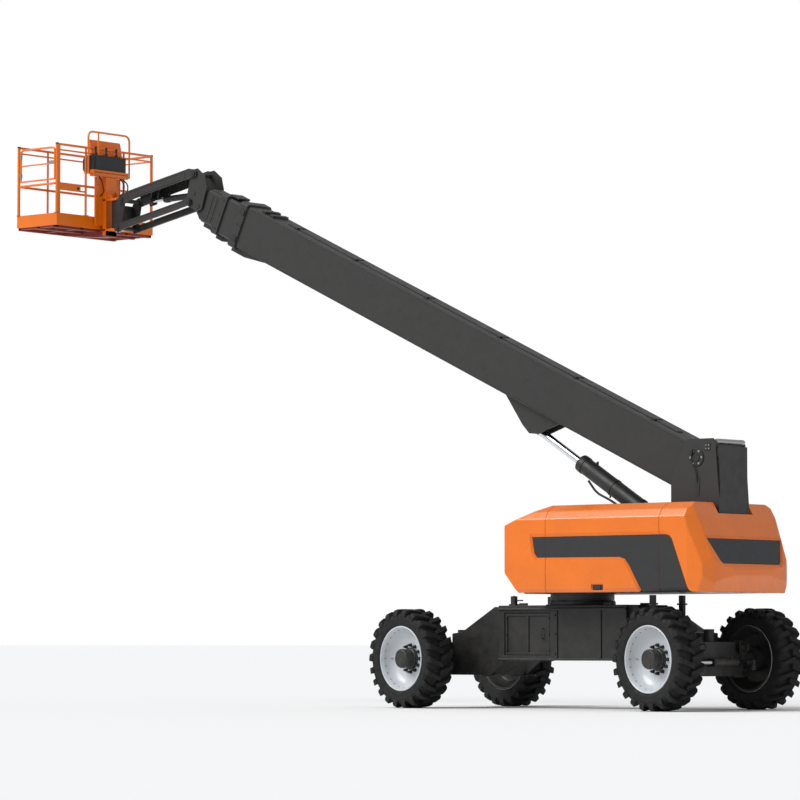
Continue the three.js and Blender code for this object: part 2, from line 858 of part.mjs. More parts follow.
function platformBracket() {
  const h = head;
  const p = platform;
  const outside = h.plateInner + h.plateThickness;
  const start = p.rotatorX + p.sideStart;
  const profile = [
    [armTip.x + 52, armTip.y + 30],
    [armTip.x, armTip.y + 62],
    [start + 40, armTip.y + 30],
    [start, armTip.y - 40],
    [start, linkTip.y - 20],
    [linkTip.x - 5, linkTip.y - 62],
    [linkTip.x + 58, linkTip.y - 40],
    [linkTip.x + 70, linkTip.y + 60],
  ].reverse();
  const plates = bothSides((side) => sidePlate(profile, ...span(side, h.plateInner, outside)));
  const housing = bar([p.rotatorX, 0, p.rotatorBottom], [p.rotatorX, 0, p.rotatorTop], p.rotatorRadius, 24);
  const [low, high] = [p.rotatorBottom + 30, p.rotatorTop - 68];
  const neck = block(p.rotatorX + 40, start + 20, -p.neckHalf, p.neckHalf, low, high);
  const web = block(start, start + 24, -h.plateInner - 4, h.plateInner + 4, low, high);
  const pins = [armTip, linkTip].map((tip) => crossBar(tip.x, tip.y, h.pinHalf, jib.pinRadius));
  const bore = bar(
    [p.rotatorX, 0, p.rotatorBottom - 50],
    [p.rotatorX, 0, p.rotatorTop + 50],
    p.shaftRadius + RUNNING,
  );
  return cut(join(plates, housing, neck, web, ...pins), bore);
}

const jibArmGroup = groupAt(turntable, jibTop.x, 0, jibTop.y);
jibArmGroup.rotation.y = jib.angle;
const jibLinkGroup = groupAt(turntable, linkTop.x, 0, linkTop.y);
jibLinkGroup.rotation.y = jib.angle;
const jibEye = new THREE.Vector2(
  jibTop.x - jib.cylinderAlong * Math.cos(jib.angle) - jib.cylinderOffset * Math.sin(jib.angle),
  jibTop.y + jib.cylinderAlong * Math.sin(jib.angle) - jib.cylinderOffset * Math.cos(jib.angle),
);
const jibGroup = cylinderGroup(turntable, jibBase, jibEye);
const jibCylinder = { ...jib, basePin: jib.pinRadius, eyeRadius: 38, eyeHalf: 42 };

add(turntable, "jib_head", jibHead(), darkPaint);
add(jibArmGroup, "jib_arm", jibArm(), darkPaint);
add(jibLinkGroup, "jib_link_right", jibLink(1), darkPaint);
add(jibLinkGroup, "jib_link_left", jibLink(-1), darkPaint);
add(jibGroup, "jib_cylinder_barrel", barrelSolid(jibCylinder), darkPaint);
const jibRod = rodSolid({ ...jibCylinder, start: 312, length: jibBase.distanceTo(jibEye) });
add(jibGroup, "jib_cylinder_rod", jibRod, chrome);
add(turntable, "platform_bracket", platformBracket(), darkPaint);

// ---------------------------------------------------------------- work platform

const basketFront = platform.basketBack - platform.basketDepth;

function platformSupport() {
  const p = platform;
  const clear = 10;
  const top = p.rotatorTop + clear;
  const bottom = p.rotatorBottom - clear;
  const half = p.postHalf;
  const shelfBottom = p.consoleBottom - 60;
  const upper = block(p.postFront, p.rotatorX + 70, -half, half, top, top + p.plate);
  const lower = block(p.postFront, p.rotatorX + 70, -half, half, bottom - p.plate, bottom);
  const post = block(p.postFront - 2, p.postBack, -half, half, bottom - p.plate, shelfBottom);
  const panelLow = p.floorTop + 20;
  const panel = block(p.panelFront, p.postFront, -p.panelHalf, p.panelHalf, panelLow, shelfBottom);
  const shaft = bar([p.rotatorX, 0, bottom - 10], [p.rotatorX, 0, top + 10], p.shaftRadius);
  const beam = [
    [p.postBack, bottom - p.plate],
    [p.postBack, p.floorBottom - GAP],
    [basketFront + 60, p.floorBottom - GAP],
    [basketFront + 60, p.floorBottom - 40],
    [p.postFront - 120, p.floorBottom - 100],
    [p.postBack, p.floorBottom - 100],
  ];
  const subframe = sidePlate(beam, -half, half);
  return join(upper, lower, post, panel, shaft, subframe);
}

// A rail along a run of points, with square joints.
function rail(points, radius = platform.railRadius) {
  const runs = points.slice(1).map((point, i) => bar(points[i], point, radius, FACETS.pipe));
  return join(...runs);
}

const railIn = platform.railRadius;
const railBack = platform.basketBack - railIn;
const railFront = basketFront + railIn;
const railEnd = platform.basketHalfWidth - railIn;
const railHeight = platform.railTop - railIn;

// One long side: two corner posts, two posts between them, the top rail and the middle rail.
function longRails(x) {
  const p = platform;
  const foot = p.floorBottom + p.toeBoard + GAP;
  const post = (y, radius) => rail([[x, y, foot], [x, y, railHeight]], radius);
  const posts = [-railEnd, railEnd].map((y) => post(y, p.postRadius));
  const middles = [-p.middlePost, p.middlePost].map((y) => post(y, railIn));
  const rails = [railHeight, p.midRail].map((z) => rail([[x, -railEnd, z], [x, railEnd, z]]));
  return join(...posts, ...middles, ...rails);
}

// The short rails belong to the front side, and stop at the posts of the back side.
function frontRails() {
  const end = railBack - platform.postRadius - GAP;
  const short = (y, z) => rail([[railFront, y, z], [end, y, z]]);
  const { midRail } = platform;
  return join(
    longRails(railFront),
    short(railEnd, railHeight),
    short(railEnd, midRail),
    short(-railEnd, midRail),
  );
}

function toeBoard() {
  const p = platform;
  const wall = 2 * p.railRadius;
  const ring = (inwards, low, high) =>
    block(
      basketFront + inwards,
      p.basketBack - inwards,
      -p.basketHalfWidth + inwards,
      p.basketHalfWidth - inwards,
      low,
      high,
    );
  const top = p.floorBottom + p.toeBoard;
  return cut(ring(0, p.floorBottom, top), ring(wall, p.floorBottom - 10, top + 10));
}

function basketFloor() {
  const p = platform;
  const edge = 2 * p.railRadius + GAP;
  return block(
    basketFront + edge,
    p.basketBack - edge,
    -p.basketHalfWidth + edge,
    p.basketHalfWidth - edge,
    p.floorBottom,
    p.floorTop,
  );
}

// The gate closes the left end between mid rail and top rail, and swings inwards about its front post.
function basketGate() {
  const p = platform;
  const y = -p.basketHalfWidth + p.railRadius;
  const reach = p.railRadius + p.postRadius + p.gateRadius + 7;
  const hinge = basketFront + reach;
  const latch = p.basketBack - reach;
  return rail(
    [
      [hinge, y, p.gateLow],
      [hinge, y, p.gateTop],
      [latch, y, p.gateTop],
      [latch, y, p.gateLow],
      [hinge, y, p.gateLow],
    ],
    p.gateRadius,
  );
}

function controlConsole() {
  const p = platform;
  const back = p.basketBack;
  const box = sidePlate(
    [
      [back + 80, p.consoleBottom],
      [back - 100, p.consoleBottom],
      [back - 130, p.consoleBottom + 40],
      [back - 130, p.consoleTop - 60],
      [back - 90, p.consoleTop],
      [back + 80, p.consoleTop],
    ].reverse(),
    -p.consoleHalf,
    p.consoleHalf,
  );
  const shelfLow = p.consoleBottom - 60 + GAP;
  const shelfHalf = p.consoleHalf + 10;
  const shelf = block(back + 20, back + 110, -shelfHalf, shelfHalf, shelfLow, p.consoleBottom + 2);
  const half = [
    [p.consoleHalf, shelfLow + 25],
    [p.hoopHalf, shelfLow + 75],
    [p.hoopHalf, p.hoopTop - 80],
    [p.hoopHalf - 60, p.hoopTop],
  ];
  const hoop = rail(
    [...half, ...half.map(([y, z]) => [-y, z]).reverse()].map(([y, z]) => [back + 60, y, z]),
    p.gateRadius,
  );
  return join(box, hoop, shelf);
}

add(turntable, "platform_support", platformSupport(), orangePaint);
add(turntable, "basket_front_rails", frontRails(), orangePaint);
add(turntable, "basket_back_rails", longRails(railBack), orangePaint);
add(turntable, "basket_toe_board", toeBoard(), orangePaint);
add(turntable, "basket_floor", basketFloor(), castIron);
add(turntable, "basket_gate", basketGate(), orangePaint);
add(turntable, "control_console", controlConsole(), blackPlastic);

// ---------------------------------------------------------------- frame

// The part's origin is under the middle of the whole machine, on the ground.
const size = new THREE.Box3().setFromObject(machine, true);
machine.position.x = -(size.min.x + size.max.x) / 2;
machine.position.z = -size.min.z;

const boomLift = new THREE.Group();
boomLift.name = "telescopic_boom_lift";
boomLift.add(machine);

export default boomLift;
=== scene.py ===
# A self-propelled boom lift: paint, rubber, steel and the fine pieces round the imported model.
# Metres, +Z up. The boom points towards -X and the operator's left side is -Y.
import json
import math
from collections import namedtuple

import bmesh
import bpy
from mathutils import Matrix, Vector


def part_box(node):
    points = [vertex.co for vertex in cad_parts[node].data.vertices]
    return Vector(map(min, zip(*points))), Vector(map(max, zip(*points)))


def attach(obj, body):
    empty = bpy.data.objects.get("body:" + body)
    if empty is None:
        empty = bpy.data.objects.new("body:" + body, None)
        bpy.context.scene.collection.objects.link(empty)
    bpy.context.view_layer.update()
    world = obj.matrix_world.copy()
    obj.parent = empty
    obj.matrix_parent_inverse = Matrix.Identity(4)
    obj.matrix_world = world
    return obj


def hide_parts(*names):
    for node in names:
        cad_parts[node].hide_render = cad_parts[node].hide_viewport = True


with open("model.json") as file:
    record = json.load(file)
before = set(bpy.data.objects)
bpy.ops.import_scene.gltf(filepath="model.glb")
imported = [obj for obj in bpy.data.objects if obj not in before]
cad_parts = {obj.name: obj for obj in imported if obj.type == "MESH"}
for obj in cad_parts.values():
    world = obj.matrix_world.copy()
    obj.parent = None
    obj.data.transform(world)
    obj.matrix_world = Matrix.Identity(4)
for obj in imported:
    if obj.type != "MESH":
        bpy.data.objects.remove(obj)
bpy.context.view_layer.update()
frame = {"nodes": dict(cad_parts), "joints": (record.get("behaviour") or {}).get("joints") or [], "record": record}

BODY_NODES = frame["record"]["behaviour"]["bodies"]
BODY_OF = {node: body for body, nodes in BODY_NODES.items() for node in nodes}
JOINTS = {joint["name"]: joint for joint in frame["joints"]}
CORNERS = ("front_left", "front_right", "rear_left", "rear_right")
SIDES = ((-1, "left"), (1, "right"))
UP = Vector((0, 0, 1))
ACROSS = Vector((0, 1, 0))
SLEW_X = JOINTS["slew"]["pos_m"][0]
BOOM_PIVOT = Vector(JOINTS["boom_lift"]["pos_m"])
BOOM_RUN = Vector(JOINTS["telescope"]["axis"])


def place(x, y, z):
    """A point given from the slew axis."""
    return Vector((x + SLEW_X, y, z))


def spread(side, inner, outer):
    """The low and high Y between two distances from the middle, on one side of the machine."""
    return sorted((side * inner, side * outer))


# ---------------------------------------------------------------- materials


class Finish:
    """A principled shader with helpers for the patterns that feed it."""

    def __init__(self, name, **constants):
        self.material = bpy.data.materials.new(name)
        self.material.use_nodes = True
        self.tree = self.material.node_tree
        self.shader = self.tree.nodes["Principled BSDF"]
        for socket, value in constants.items():
            self.shader.inputs[socket.replace("_", " ")].default_value = value
        self.coordinates = self.tree.nodes.new("ShaderNodeTexCoord").outputs["Object"]

    def node(self, kind, **settings):
        """A new node with its settings."""
        made = self.tree.nodes.new("ShaderNode" + kind)
        for name, value in settings.items():
            setattr(made, name, value)
        return made

    def link(self, output, target):
        """Joins an output to an input."""
        self.tree.links.new(output, target)

    def noise(self, scale, detail=4.0, roughness=0.55, stretch=None):
        """Noise in the piece's own place, with a scale per metre."""
        made = self.node("TexNoise")
        made.inputs["Scale"].default_value = scale
        made.inputs["Detail"].default_value = detail
        made.inputs["Roughness"].default_value = roughness
        if stretch is None:
            self.link(self.coordinates, made.inputs["Vector"])
        else:
            mapping = self.node("Mapping")
            mapping.inputs["Scale"].default_value = stretch
            self.link(self.coordinates, mapping.inputs["Vector"])
            self.link(mapping.outputs["Vector"], made.inputs["Vector"])
        return made.outputs["Fac"]

    def ramp(self, factor, stops):
        """Colours along a factor."""
        made = self.node("ValToRGB")
        elements = made.color_ramp.elements
        while len(elements) < len(stops):
            elements.new(0.5)
        for element, (position, color) in zip(elements, stops):
            element.position = position
            element.color = (*color, 1.0)
        self.link(factor, made.inputs["Fac"])
        return made.outputs["Color"]

    def remap(self, factor, low, high, new_low, new_high):
        """A factor carried from one range to another."""
        made = self.node("MapRange")
        limits = {"From Min": low, "From Max": high, "To Min": new_low, "To Max": new_high}
        for name, value in limits.items():
            made.inputs[name].default_value = value
        self.link(factor, made.inputs["Value"])
        return made.outputs["Result"]

    def times(self, a, b):
        """The product of two factors."""
        made = self.node("Math", operation="MULTIPLY")
        self.link(a, made.inputs[0])
        self.link(b, made.inputs[1])
        return made.outputs[0]

    def mix(self, factor, a, b):
        """A blend of two colours, each an output or a fixed colour."""
        made = self.node("Mix", data_type="RGBA")
        self.link(factor, made.inputs["Factor"])
        for socket, value in (("A", a), ("B", b)):
            target = [s for s in made.inputs if s.name == socket and s.type == "RGBA"][0]
            if isinstance(value, tuple):
                target.default_value = (*value, 1.0)
            else:
                self.link(value, target)
        return [s for s in made.outputs if s.type == "RGBA"][0]

    def height(self):
        """How high each point is above the ground."""
        made = self.node("SeparateXYZ")
        self.link(self.coordinates, made.inputs["Vector"])
        return made.outputs["Z"]

    def color(self, output):
        self.link(output, self.shader.inputs["Base Color"])

    def roughness(self, output):
        self.link(output, self.shader.inputs["Roughness"])

    def bump(self, height, distance, strength):
        """A bump on top of any bump that is there."""
        made = self.node("Bump")
        made.inputs["Distance"].default_value = distance
        made.inputs["Strength"].default_value = strength
        self.link(height, made.inputs["Height"])
        if self.shader.inputs["Normal"].is_linked:
            self.link(self.shader.inputs["Normal"].links[0].from_socket, made.inputs["Normal"])
        self.link(made.outputs["Normal"], self.shader.inputs["Normal"])


def tinted(color, factor):
    """A colour made lighter or darker."""
    return tuple(min(1.0, channel * factor) for channel in color)


def paint(name, color, rough, coat, dust_share=0.35, wear=0.3, dust=(0.30, 0.26, 0.21)):
    """Sprayed paint: cloudy tone, orange peel, scuffs, and dust that thickens near the ground."""
    finish = Finish(name, Coat_Weight=coat, Coat_Roughness=0.12, Specular_IOR_Level=0.5)
    stops = [(0.3, tinted(color, 0.9)), (0.55, color), (0.8, tinted(color, 1.07))]
    tone = finish.ramp(finish.noise(1.7, 6.0), stops)
    scuffs = finish.remap(finish.noise(38.0, 8.0, 0.7, (1.0, 1.0, 0.25)), 0.62, 0.85, 0.0, wear)
    scuffed = finish.mix(scuffs, tone, tinted(color, 0.72))
    low = finish.remap(finish.height(), 1.5, 0.1, 0.0, dust_share)
    patches = finish.remap(finish.noise(5.0, 9.0, 0.65), 0.42, 0.75, 0.0, 1.0)
    finish.color(finish.mix(finish.times(low, patches), scuffed, dust))
    finish.roughness(finish.remap(finish.noise(9.0, 7.0), 0.3, 0.75, rough * 0.8, rough * 1.25))
    finish.bump(finish.noise(230.0, 2.0), 0.00025, 0.35)
    finish.bump(finish.noise(14.0, 3.0), 0.0012, 0.12)
    return finish.material


def rubber(name):
    """Tyre rubber: matte black with moulding grain and greyer scuffed patches."""
    finish = Finish(name, Specular_IOR_Level=0.35)
    stops = [(0.3, (0.006, 0.006, 0.0063)), (0.7, (0.012, 0.012, 0.0122))]
    base = finish.ramp(finish.noise(6.0, 8.0, 0.6), stops)
    scuff = finish.remap(finish.noise(28.0, 9.0, 0.75), 0.55, 0.8, 0.0, 0.45)
    finish.color(finish.mix(scuff, base, (0.030, 0.029, 0.028)))
    finish.roughness(finish.remap(finish.noise(16.0, 6.0), 0.3, 0.7, 0.62, 0.86))
    finish.bump(finish.noise(160.0, 5.0, 0.7), 0.0008, 0.5)
    finish.bump(finish.noise(22.0, 4.0), 0.0015, 0.25)
    return finish.material


def bare_steel(name, color, rough, metallic=1.0, grain=(1.0, 1.0, 12.0)):
    """Ground or polished steel with a fine grain along one way."""
    finish = Finish(name, Metallic=metallic, Specular_IOR_Level=0.5)
    streaks = finish.noise(40.0, 6.0, 0.6, grain)
    finish.color(finish.ramp(streaks, [(0.35, tinted(color, 0.88)), (0.7, color)]))
    finish.roughness(finish.remap(streaks, 0.3, 0.75, rough * 0.7, rough * 1.4))
    finish.bump(finish.noise(90.0, 4.0, 0.6, grain), 0.0002, 0.3)
    return finish.material


def casting(name, color):
    """Cast iron under thin paint: pitted, uneven and dull."""
    finish = Finish(name, Metallic=0.25, Specular_IOR_Level=0.45)
    stops = [(0.3, tinted(color, 0.7)), (0.55, color), (0.85, tinted(color, 1.5))]
    finish.color(finish.ramp(finish.noise(9.0, 9.0, 0.7), stops))
    finish.roughness(finish.remap(finish.noise(25.0, 6.0), 0.3, 0.7, 0.45, 0.72))
    finish.bump(finish.noise(110.0, 6.0, 0.7), 0.0009, 0.5)
    return finish.material


def plastic(name, color, rough, grain=300.0):
    """Moulded plastic with a fine leathery grain."""
    finish = Finish(name, Specular_IOR_Level=0.5)
    stops = [(0.35, tinted(color, 0.85)), (0.7, tinted(color, 1.15))]
    finish.color(finish.ramp(finish.noise(7.0, 5.0), stops))
    finish.roughness(finish.remap(finish.noise(18.0, 5.0), 0.3, 0.7, rough * 0.85, rough * 1.15))
    finish.bump(finish.noise(grain, 3.0, 0.5), 0.0004, 0.4)
    return finish.material


def tread_sheet(name, color):
    """Pressed floor sheet: a raised lattice of short bars, worn on the crowns."""
    finish = Finish(name, Metallic=0.2, Specular_IOR_Level=0.5)
    wave = finish.node("TexWave", wave_type="BANDS", bands_direction="DIAGONAL")
    wave.inputs["Scale"].default_value = 9.0
    finish.link(finish.coordinates, wave.inputs["Vector"])
    worn = finish.remap(finish.noise(12.0, 8.0, 0.7), 0.45, 0.8, 0.0, 0.5)
    finish.color(finish.mix(worn, color, tinted(color, 0.45)))
    finish.roughness(finish.remap(finish.noise(20.0, 5.0), 0.3, 0.7, 0.4, 0.65))
    finish.bump(wave.outputs["Fac"], 0.003, 0.4)
    return finish.material


CHARCOAL = (0.021, 0.0198, 0.0185)
ORANGE = (0.83, 0.172, 0.001)
MATERIALS = {
    "charcoal": paint("charcoal_paint", CHARCOAL, 0.5, 0.06, dust_share=0.22),
    "charcoal_dark": paint("charcoal_dark_paint", tinted(CHARCOAL, 0.6), 0.52, 0.06, 0.12),
    "orange": paint("orange_paint", ORANGE, 0.26, 0.5, 0.03, 0.08),
    "orange_frame": paint("orange_frame_paint", ORANGE, 0.38, 0.3, 0.0, 0.1),
    # Dark red: painted shade where it colours the basket's orange underside, and the stop button's own red.
    "maroon": paint("red_primer_underside", (0.20, 0.024, 0.014), 0.6, 0.05, dust_share=0.0),
    "stripe": paint("graphite_panel", (0.017, 0.0175, 0.018), 0.42, 0.12, dust_share=0.1),
    "rim": paint("silver_white_paint", (0.60, 0.635, 0.67), 0.38, 0.35, dust_share=0.3),
    "rubber": rubber("tyre_rubber"),
    "chrome": bare_steel("chromed_rod", (0.78, 0.80, 0.82), 0.12),
    "steel": bare_steel("zinc_steel", (0.42, 0.42, 0.41), 0.38, 0.9, (1.0, 1.0, 1.0)),
    "iron": casting("cast_iron", (0.036, 0.036, 0.037)),
    "plastic": plastic("black_plastic", (0.014, 0.015, 0.016), 0.5),
    "hose": plastic("hose_rubber", (0.011, 0.011, 0.012), 0.6, 500.0),
    "floor_sheet": tread_sheet("floor_tread_sheet", (0.40, 0.085, 0.012)),
}

# ---------------------------------------------------------------- shapes


def gather(parts):
    """One bmesh from several, each of which is used up."""
    whole = bmesh.new()
    for part in parts:
        mesh = bpy.data.meshes.new("part")
        part.to_mesh(mesh)
        part.free()
        whole.from_mesh(mesh)
        bpy.data.meshes.remove(mesh)
    return whole


def moved(shape, matrix):
    """The same bmesh after a transform."""
    shape.transform(matrix)
    return shape


def copied(shape, matrix):
    """A transformed copy that leaves the first bmesh as it is."""
    return moved(shape.copy(), matrix)


def soften(shape, width, segments=2, over=math.radians(33)):
    """Rounds the edges that turn by more than the angle."""
    edges = [e for e in shape.edges if len(e.link_faces) == 2 and e.calc_face_angle(0) > over]
    if edges and width > 0:
        bmesh.ops.bevel(
            shape,
            geom=edges,
            offset=width,
            segments=segments,
            profile=0.5,
            affect="EDGES",
            material=-1,
            clamp_overlap=True,
        )
    return shape


def block(low, high, width=0.004, segments=2):
    """A box between two corners, with its edges rounded."""
    shape = bmesh.new()
    low, high = Vector(low), Vector(high)
    bmesh.ops.create_cube(shape, size=1.0)
    bmesh.ops.scale(shape, vec=high - low, verts=shape.verts)
    bmesh.ops.translate(shape, vec=(low + high) / 2, verts=shape.verts)
    return soften(shape, width, segments)


def placed_block(low, high, width=0.003):
    """A box whose corners are given from the slew axis."""
    return block(place(*low), place(*high), width)


def aimed(start, end):
    """The matrix that carries the Z axis from 0 to 1 onto the stretch between two points."""
    start, end = Vector(start), Vector(end)
    return Matrix.Translation(start) @ (end - start).to_track_quat("Z", "Y").to_matrix().to_4x4()


def rod(start, end, radius, sides=32, width=0.002, tip=None):
    """A round bar, or a cone where its tip has another radius, with rounded rims."""
    shape = bmesh.new()
    length = (Vector(end) - Vector(start)).length
    bmesh.ops.create_cone(
        shape,
        cap_ends=True,
        segments=sides,
        radius1=radius,
        radius2=radius if tip is None else tip,
        depth=length,
        matrix=Matrix.Translation((0, 0, length / 2)),
    )
    soften(shape, width, 2, math.radians(45))
    return moved(shape, aimed(start, end))


def stub(foot, way, rise, radius, sides=24, width=0.001, tip=None):
    """A short round bar that stands on a point."""
    foot = Vector(foot)
    return rod(foot, foot + Vector(way) * rise, radius, sides, width, tip)


AXES = {
    "X": lambda a, b, c: (c, a, b),
    "Y": lambda a, b, c: (a, c, b),
    "Z": lambda a, b, c: (a, b, c),
}


def prism(outline, axis, low, high, width=0.003, segments=2):
    """An outline in the two other axes, extruded along one axis."""
    shape = bmesh.new()
    corners = [shape.verts.new(AXES[axis](a, b, low)) for a, b in outline]
    face = shape.faces.new(corners)
    grown = bmesh.ops.extrude_face_region(shape, geom=[face])["geom"]
    far = [v for v in grown if isinstance(v, bmesh.types.BMVert)]
    bmesh.ops.translate(shape, vec=Vector(AXES[axis](0, 0, high - low)), verts=far)
    bmesh.ops.recalc_face_normals(shape, faces=shape.faces)
    return soften(shape, width, segments)


def spun(profile, steps=72):
    """A profile of (radius, distance along the axis) turned about the Y axis."""
    shape = bmesh.new()
    points = [shape.verts.new((radius, along, 0)) for radius, along in profile]
    edges = [shape.edges.new(pair) for pair in zip(points, points[1:])]
    bmesh.ops.spin(
        shape,
        geom=points + edges,
        cent=(0, 0, 0),
        axis=ACROSS,
        angle=2 * math.pi,
        steps=steps,
        use_merge=True,
        use_duplicate=False,
    )
    bmesh.ops.remove_doubles(shape, verts=shape.verts, dist=1e-6)
    bmesh.ops.recalc_face_normals(shape, faces=shape.faces)
    return shape


def round_corners(points, bend, steps=5):
    """The route through the points with each corner turned into an arc."""
    points = [Vector(p) for p in points]
    route = [points[0]]
    for before, corner, after in zip(points, points[1:], points[2:]):
        into = (before - corner).normalized()
        out = (after - corner).normalized()
        reach = min(bend, (before - corner).length * 0.45, (after - corner).length * 0.45)
        a, b = corner + into * reach, corner + out * reach
        for i in range(steps + 1):
            t = i / steps
            route.append(a.lerp(corner, t).lerp(corner.lerp(b, t), t))
    route.append(points[-1])
    return route


def pipe(points, radius, bend=0.0, sides=14, closed=False):
    """A round tube along a route, with its ends capped."""
    route = round_corners(points, bend) if bend else [Vector(p) for p in points]
    shape = bmesh.new()
    count = len(route)
    directions = []
    for i in range(count):
        before = route[i - 1] if i or closed else route[i]
        after = route[(i + 1) % count] if i + 1 < count or closed else route[i]
        directions.append((after - before).normalized())
    turn = directions[0].to_track_quat("Z", "Y")
    last_ring = first_ring = None
    for i, (point, direction) in enumerate(zip(route, directions)):
        if i:
            turn = directions[i - 1].rotation_difference(direction) @ turn
        ends = not closed and i in (0, count - 1)
        ring = bmesh.ops.create_circle(
            shape,
            cap_ends=ends,
            segments=sides,
            radius=radius,
            matrix=Matrix.Translation(point) @ turn.to_matrix().to_4x4(),
        )["verts"]
        edges = list({e for v in ring for e in v.link_edges})
        if last_ring:
            bmesh.ops.bridge_loops(shape, edges=last_ring + edges)
        else:
            first_ring = edges
        last_ring = edges
    if closed:
        bmesh.ops.bridge_loops(shape, edges=last_ring + first_ring)
    bmesh.ops.recalc_face_normals(shape, faces=shape.faces)
    return shape


def bolt(centre, direction, size, height):
    """A hexagon head on its washer."""
    washer = stub(centre, direction, height * 0.25, size * 0.72, 20, 0.0008)
    return [washer, stub(centre, direction, height, size * 0.56, 6, 0.0015)]


def ring_of(count, radius, centre, axis, make):
    """count copies of make(point, outwards) round an axis."""
    turn = Vector(axis).to_track_quat("Z", "Y").to_matrix()
    parts = []
    for i in range(count):
        angle = 2 * math.pi * i / count
        outwards = turn @ Vector((math.cos(angle), math.sin(angle), 0))
        parts += make(Vector(centre) + outwards * radius, outwards)
    return parts


def bolt_ring(count, radius, centre, axis, head, height, facing=None):
    """Bolt heads round an axis, all facing one way."""
    facing = facing or axis

    def make(point, outwards):
        return bolt(point, facing, head, height)

    return ring_of(count, radius, centre, axis, make)


def linked(name, shape):
    """An object in the scene made from a bmesh, which is used up."""
    mesh = bpy.data.meshes.new(name)
    shape.to_mesh(mesh)
    shape.free()
    made = bpy.data.objects.new(name, mesh)
    bpy.context.scene.collection.objects.link(made)
    return made


def weigh_normals(made):
    """Lets each large face keep its own normal where narrow rounded edges meet it."""
    step = made.modifiers.new("normals", "WEIGHTED_NORMAL")
    step.keep_sharp = True
    graph = bpy.context.evaluated_depsgraph_get()
    mesh = bpy.data.meshes.new_from_object(made.evaluated_get(graph))
    bare = made.data
    made.modifiers.clear()
    made.data = mesh
    name = bare.name
    bpy.data.meshes.remove(bare)
    mesh.name = name


def piece(name, shape, body, finish, replaces=(), sharp=35):
    """Turns a finished bmesh into an object that rides on a body."""
    made = linked(name, gather(shape) if isinstance(shape, list) else shape)
    mesh = made.data
    mesh.polygons.foreach_set("use_smooth", [True] * len(mesh.polygons))
    mesh.set_sharp_from_angle(angle=math.radians(sharp))
    mesh.materials.append(MATERIALS[finish])
    weigh_normals(made)
    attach(made, body)
    if replaces:
        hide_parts(*replaces)


def cad_copy(node):
    """A copy of a node's mesh with its triangles joined into whole faces."""
    shape = bmesh.new()
    shape.from_mesh(frame["nodes"][node].data)
    bmesh.ops.remove_doubles(shape, verts=shape.verts, dist=1e-5)
    flat = math.radians(0.6)
    bmesh.ops.dissolve_limit(shape, angle_limit=flat, verts=shape.verts, edges=shape.edges)
    return shape


def dressed(node, finish, width):
    """The node's own shape with softened edges, standing in for it."""
    piece(node + "_skin", soften(cad_copy(node), width), BODY_OF[node], finish, (node,))


def boolean(target, tools, operation):
    """The first bmesh cut, joined or kept by the others; all are used up."""
    objects = [linked("boolean", shape) for shape in (target, *tools)]
    body = objects[0]
    for tool in objects[1:]:
        step = body.modifiers.new("step", "BOOLEAN")
        step.operation = operation
        step.solver = "EXACT"
        step.object = tool
    graph = bpy.context.evaluated_depsgraph_get()
    result = bmesh.new()
    result.from_mesh(body.evaluated_get(graph).data)
    for made in objects:
        mesh = made.data
        bpy.data.objects.remove(made)
        bpy.data.meshes.remove(mesh)
    return result


# ---------------------------------------------------------------- wheels

TYRE_RADIUS = 0.6
TYRE_HALF = 0.19
RIM_RADIUS = 0.395
LUGS = 22
LUG_HALF_WIDTH = 0.034
LUG_SWEEP = 0.075
STUDS = 12
STUD_CIRCLE = 0.163
RIVETS = 24


def wheel_matrix(corner):
    """Carries the +Y axis at the origin onto the wheel's axis, pointing outwards."""
    joint = JOINTS["spin_" + corner]
    turn = ACROSS.rotation_difference(Vector(joint["axis"]))
    return Matrix.Translation(joint["pos_m"]) @ turn.to_matrix().to_4x4()


def carcass():
    """The tyre without its tread bars, spun from a section with ribs on the sidewall."""
    half = [
        (RIM_RADIUS + 0.001, 0.164),
        (RIM_RADIUS + 0.010, 0.172),
        (RIM_RADIUS + 0.024, 0.176),
        (RIM_RADIUS + 0.034, 0.1825),
        (RIM_RADIUS + 0.044, 0.1835),
        (RIM_RADIUS + 0.052, 0.181),
        (RIM_RADIUS + 0.090, 0.1865),
        (RIM_RADIUS + 0.094, 0.189),
        (RIM_RADIUS + 0.101, 0.189),
        (RIM_RADIUS + 0.105, 0.186),
        (RIM_RADIUS + 0.130, 0.181),
        (RIM_RADIUS + 0.147, 0.166),
        (RIM_RADIUS + 0.156, 0.142),
        (RIM_RADIUS + 0.160, 0.080),
        (RIM_RADIUS + 0.161, 0.0),
    ]
    other = [(radius, -along) for radius, along in reversed(half[:-1])]
    return spun([*half, *other, half[0]], 96)


def lug(side, angle):
    """One tread bar that starts at the middle of the tread and folds over the shoulder."""
    top = TYRE_RADIUS
    outline = [
        (-0.022, top - 0.058),
        (-0.016, top - 0.002),
        (0.090, top),
        (0.150, top - 0.003),
        (0.182, top - 0.018),
        (0.196, top - 0.045),
        (0.197, top - 0.088),
        (0.184, top - 0.102),
        (0.140, top - 0.075),
    ]
    shape = prism(outline, "X", -LUG_HALF_WIDTH, LUG_HALF_WIDTH, 0.0)
    for vert in shape.verts:
        share = min(1.0, max(0.0, vert.co.y / TYRE_HALF))
        taper = 1.0 - 0.22 * max(0.0, (vert.co.z - top + 0.05) / 0.05)
        vert.co.x = vert.co.x * taper * (1.0 + 0.15 * share) + LUG_SWEEP * share
    soften(shape, 0.004, 2, math.radians(25))
    if side < 0:
        bmesh.ops.scale(shape, vec=(1, -1, 1), verts=shape.verts)
        bmesh.ops.reverse_faces(shape, faces=shape.faces)
    return moved(shape, Matrix.Rotation(angle, 4, "Y"))


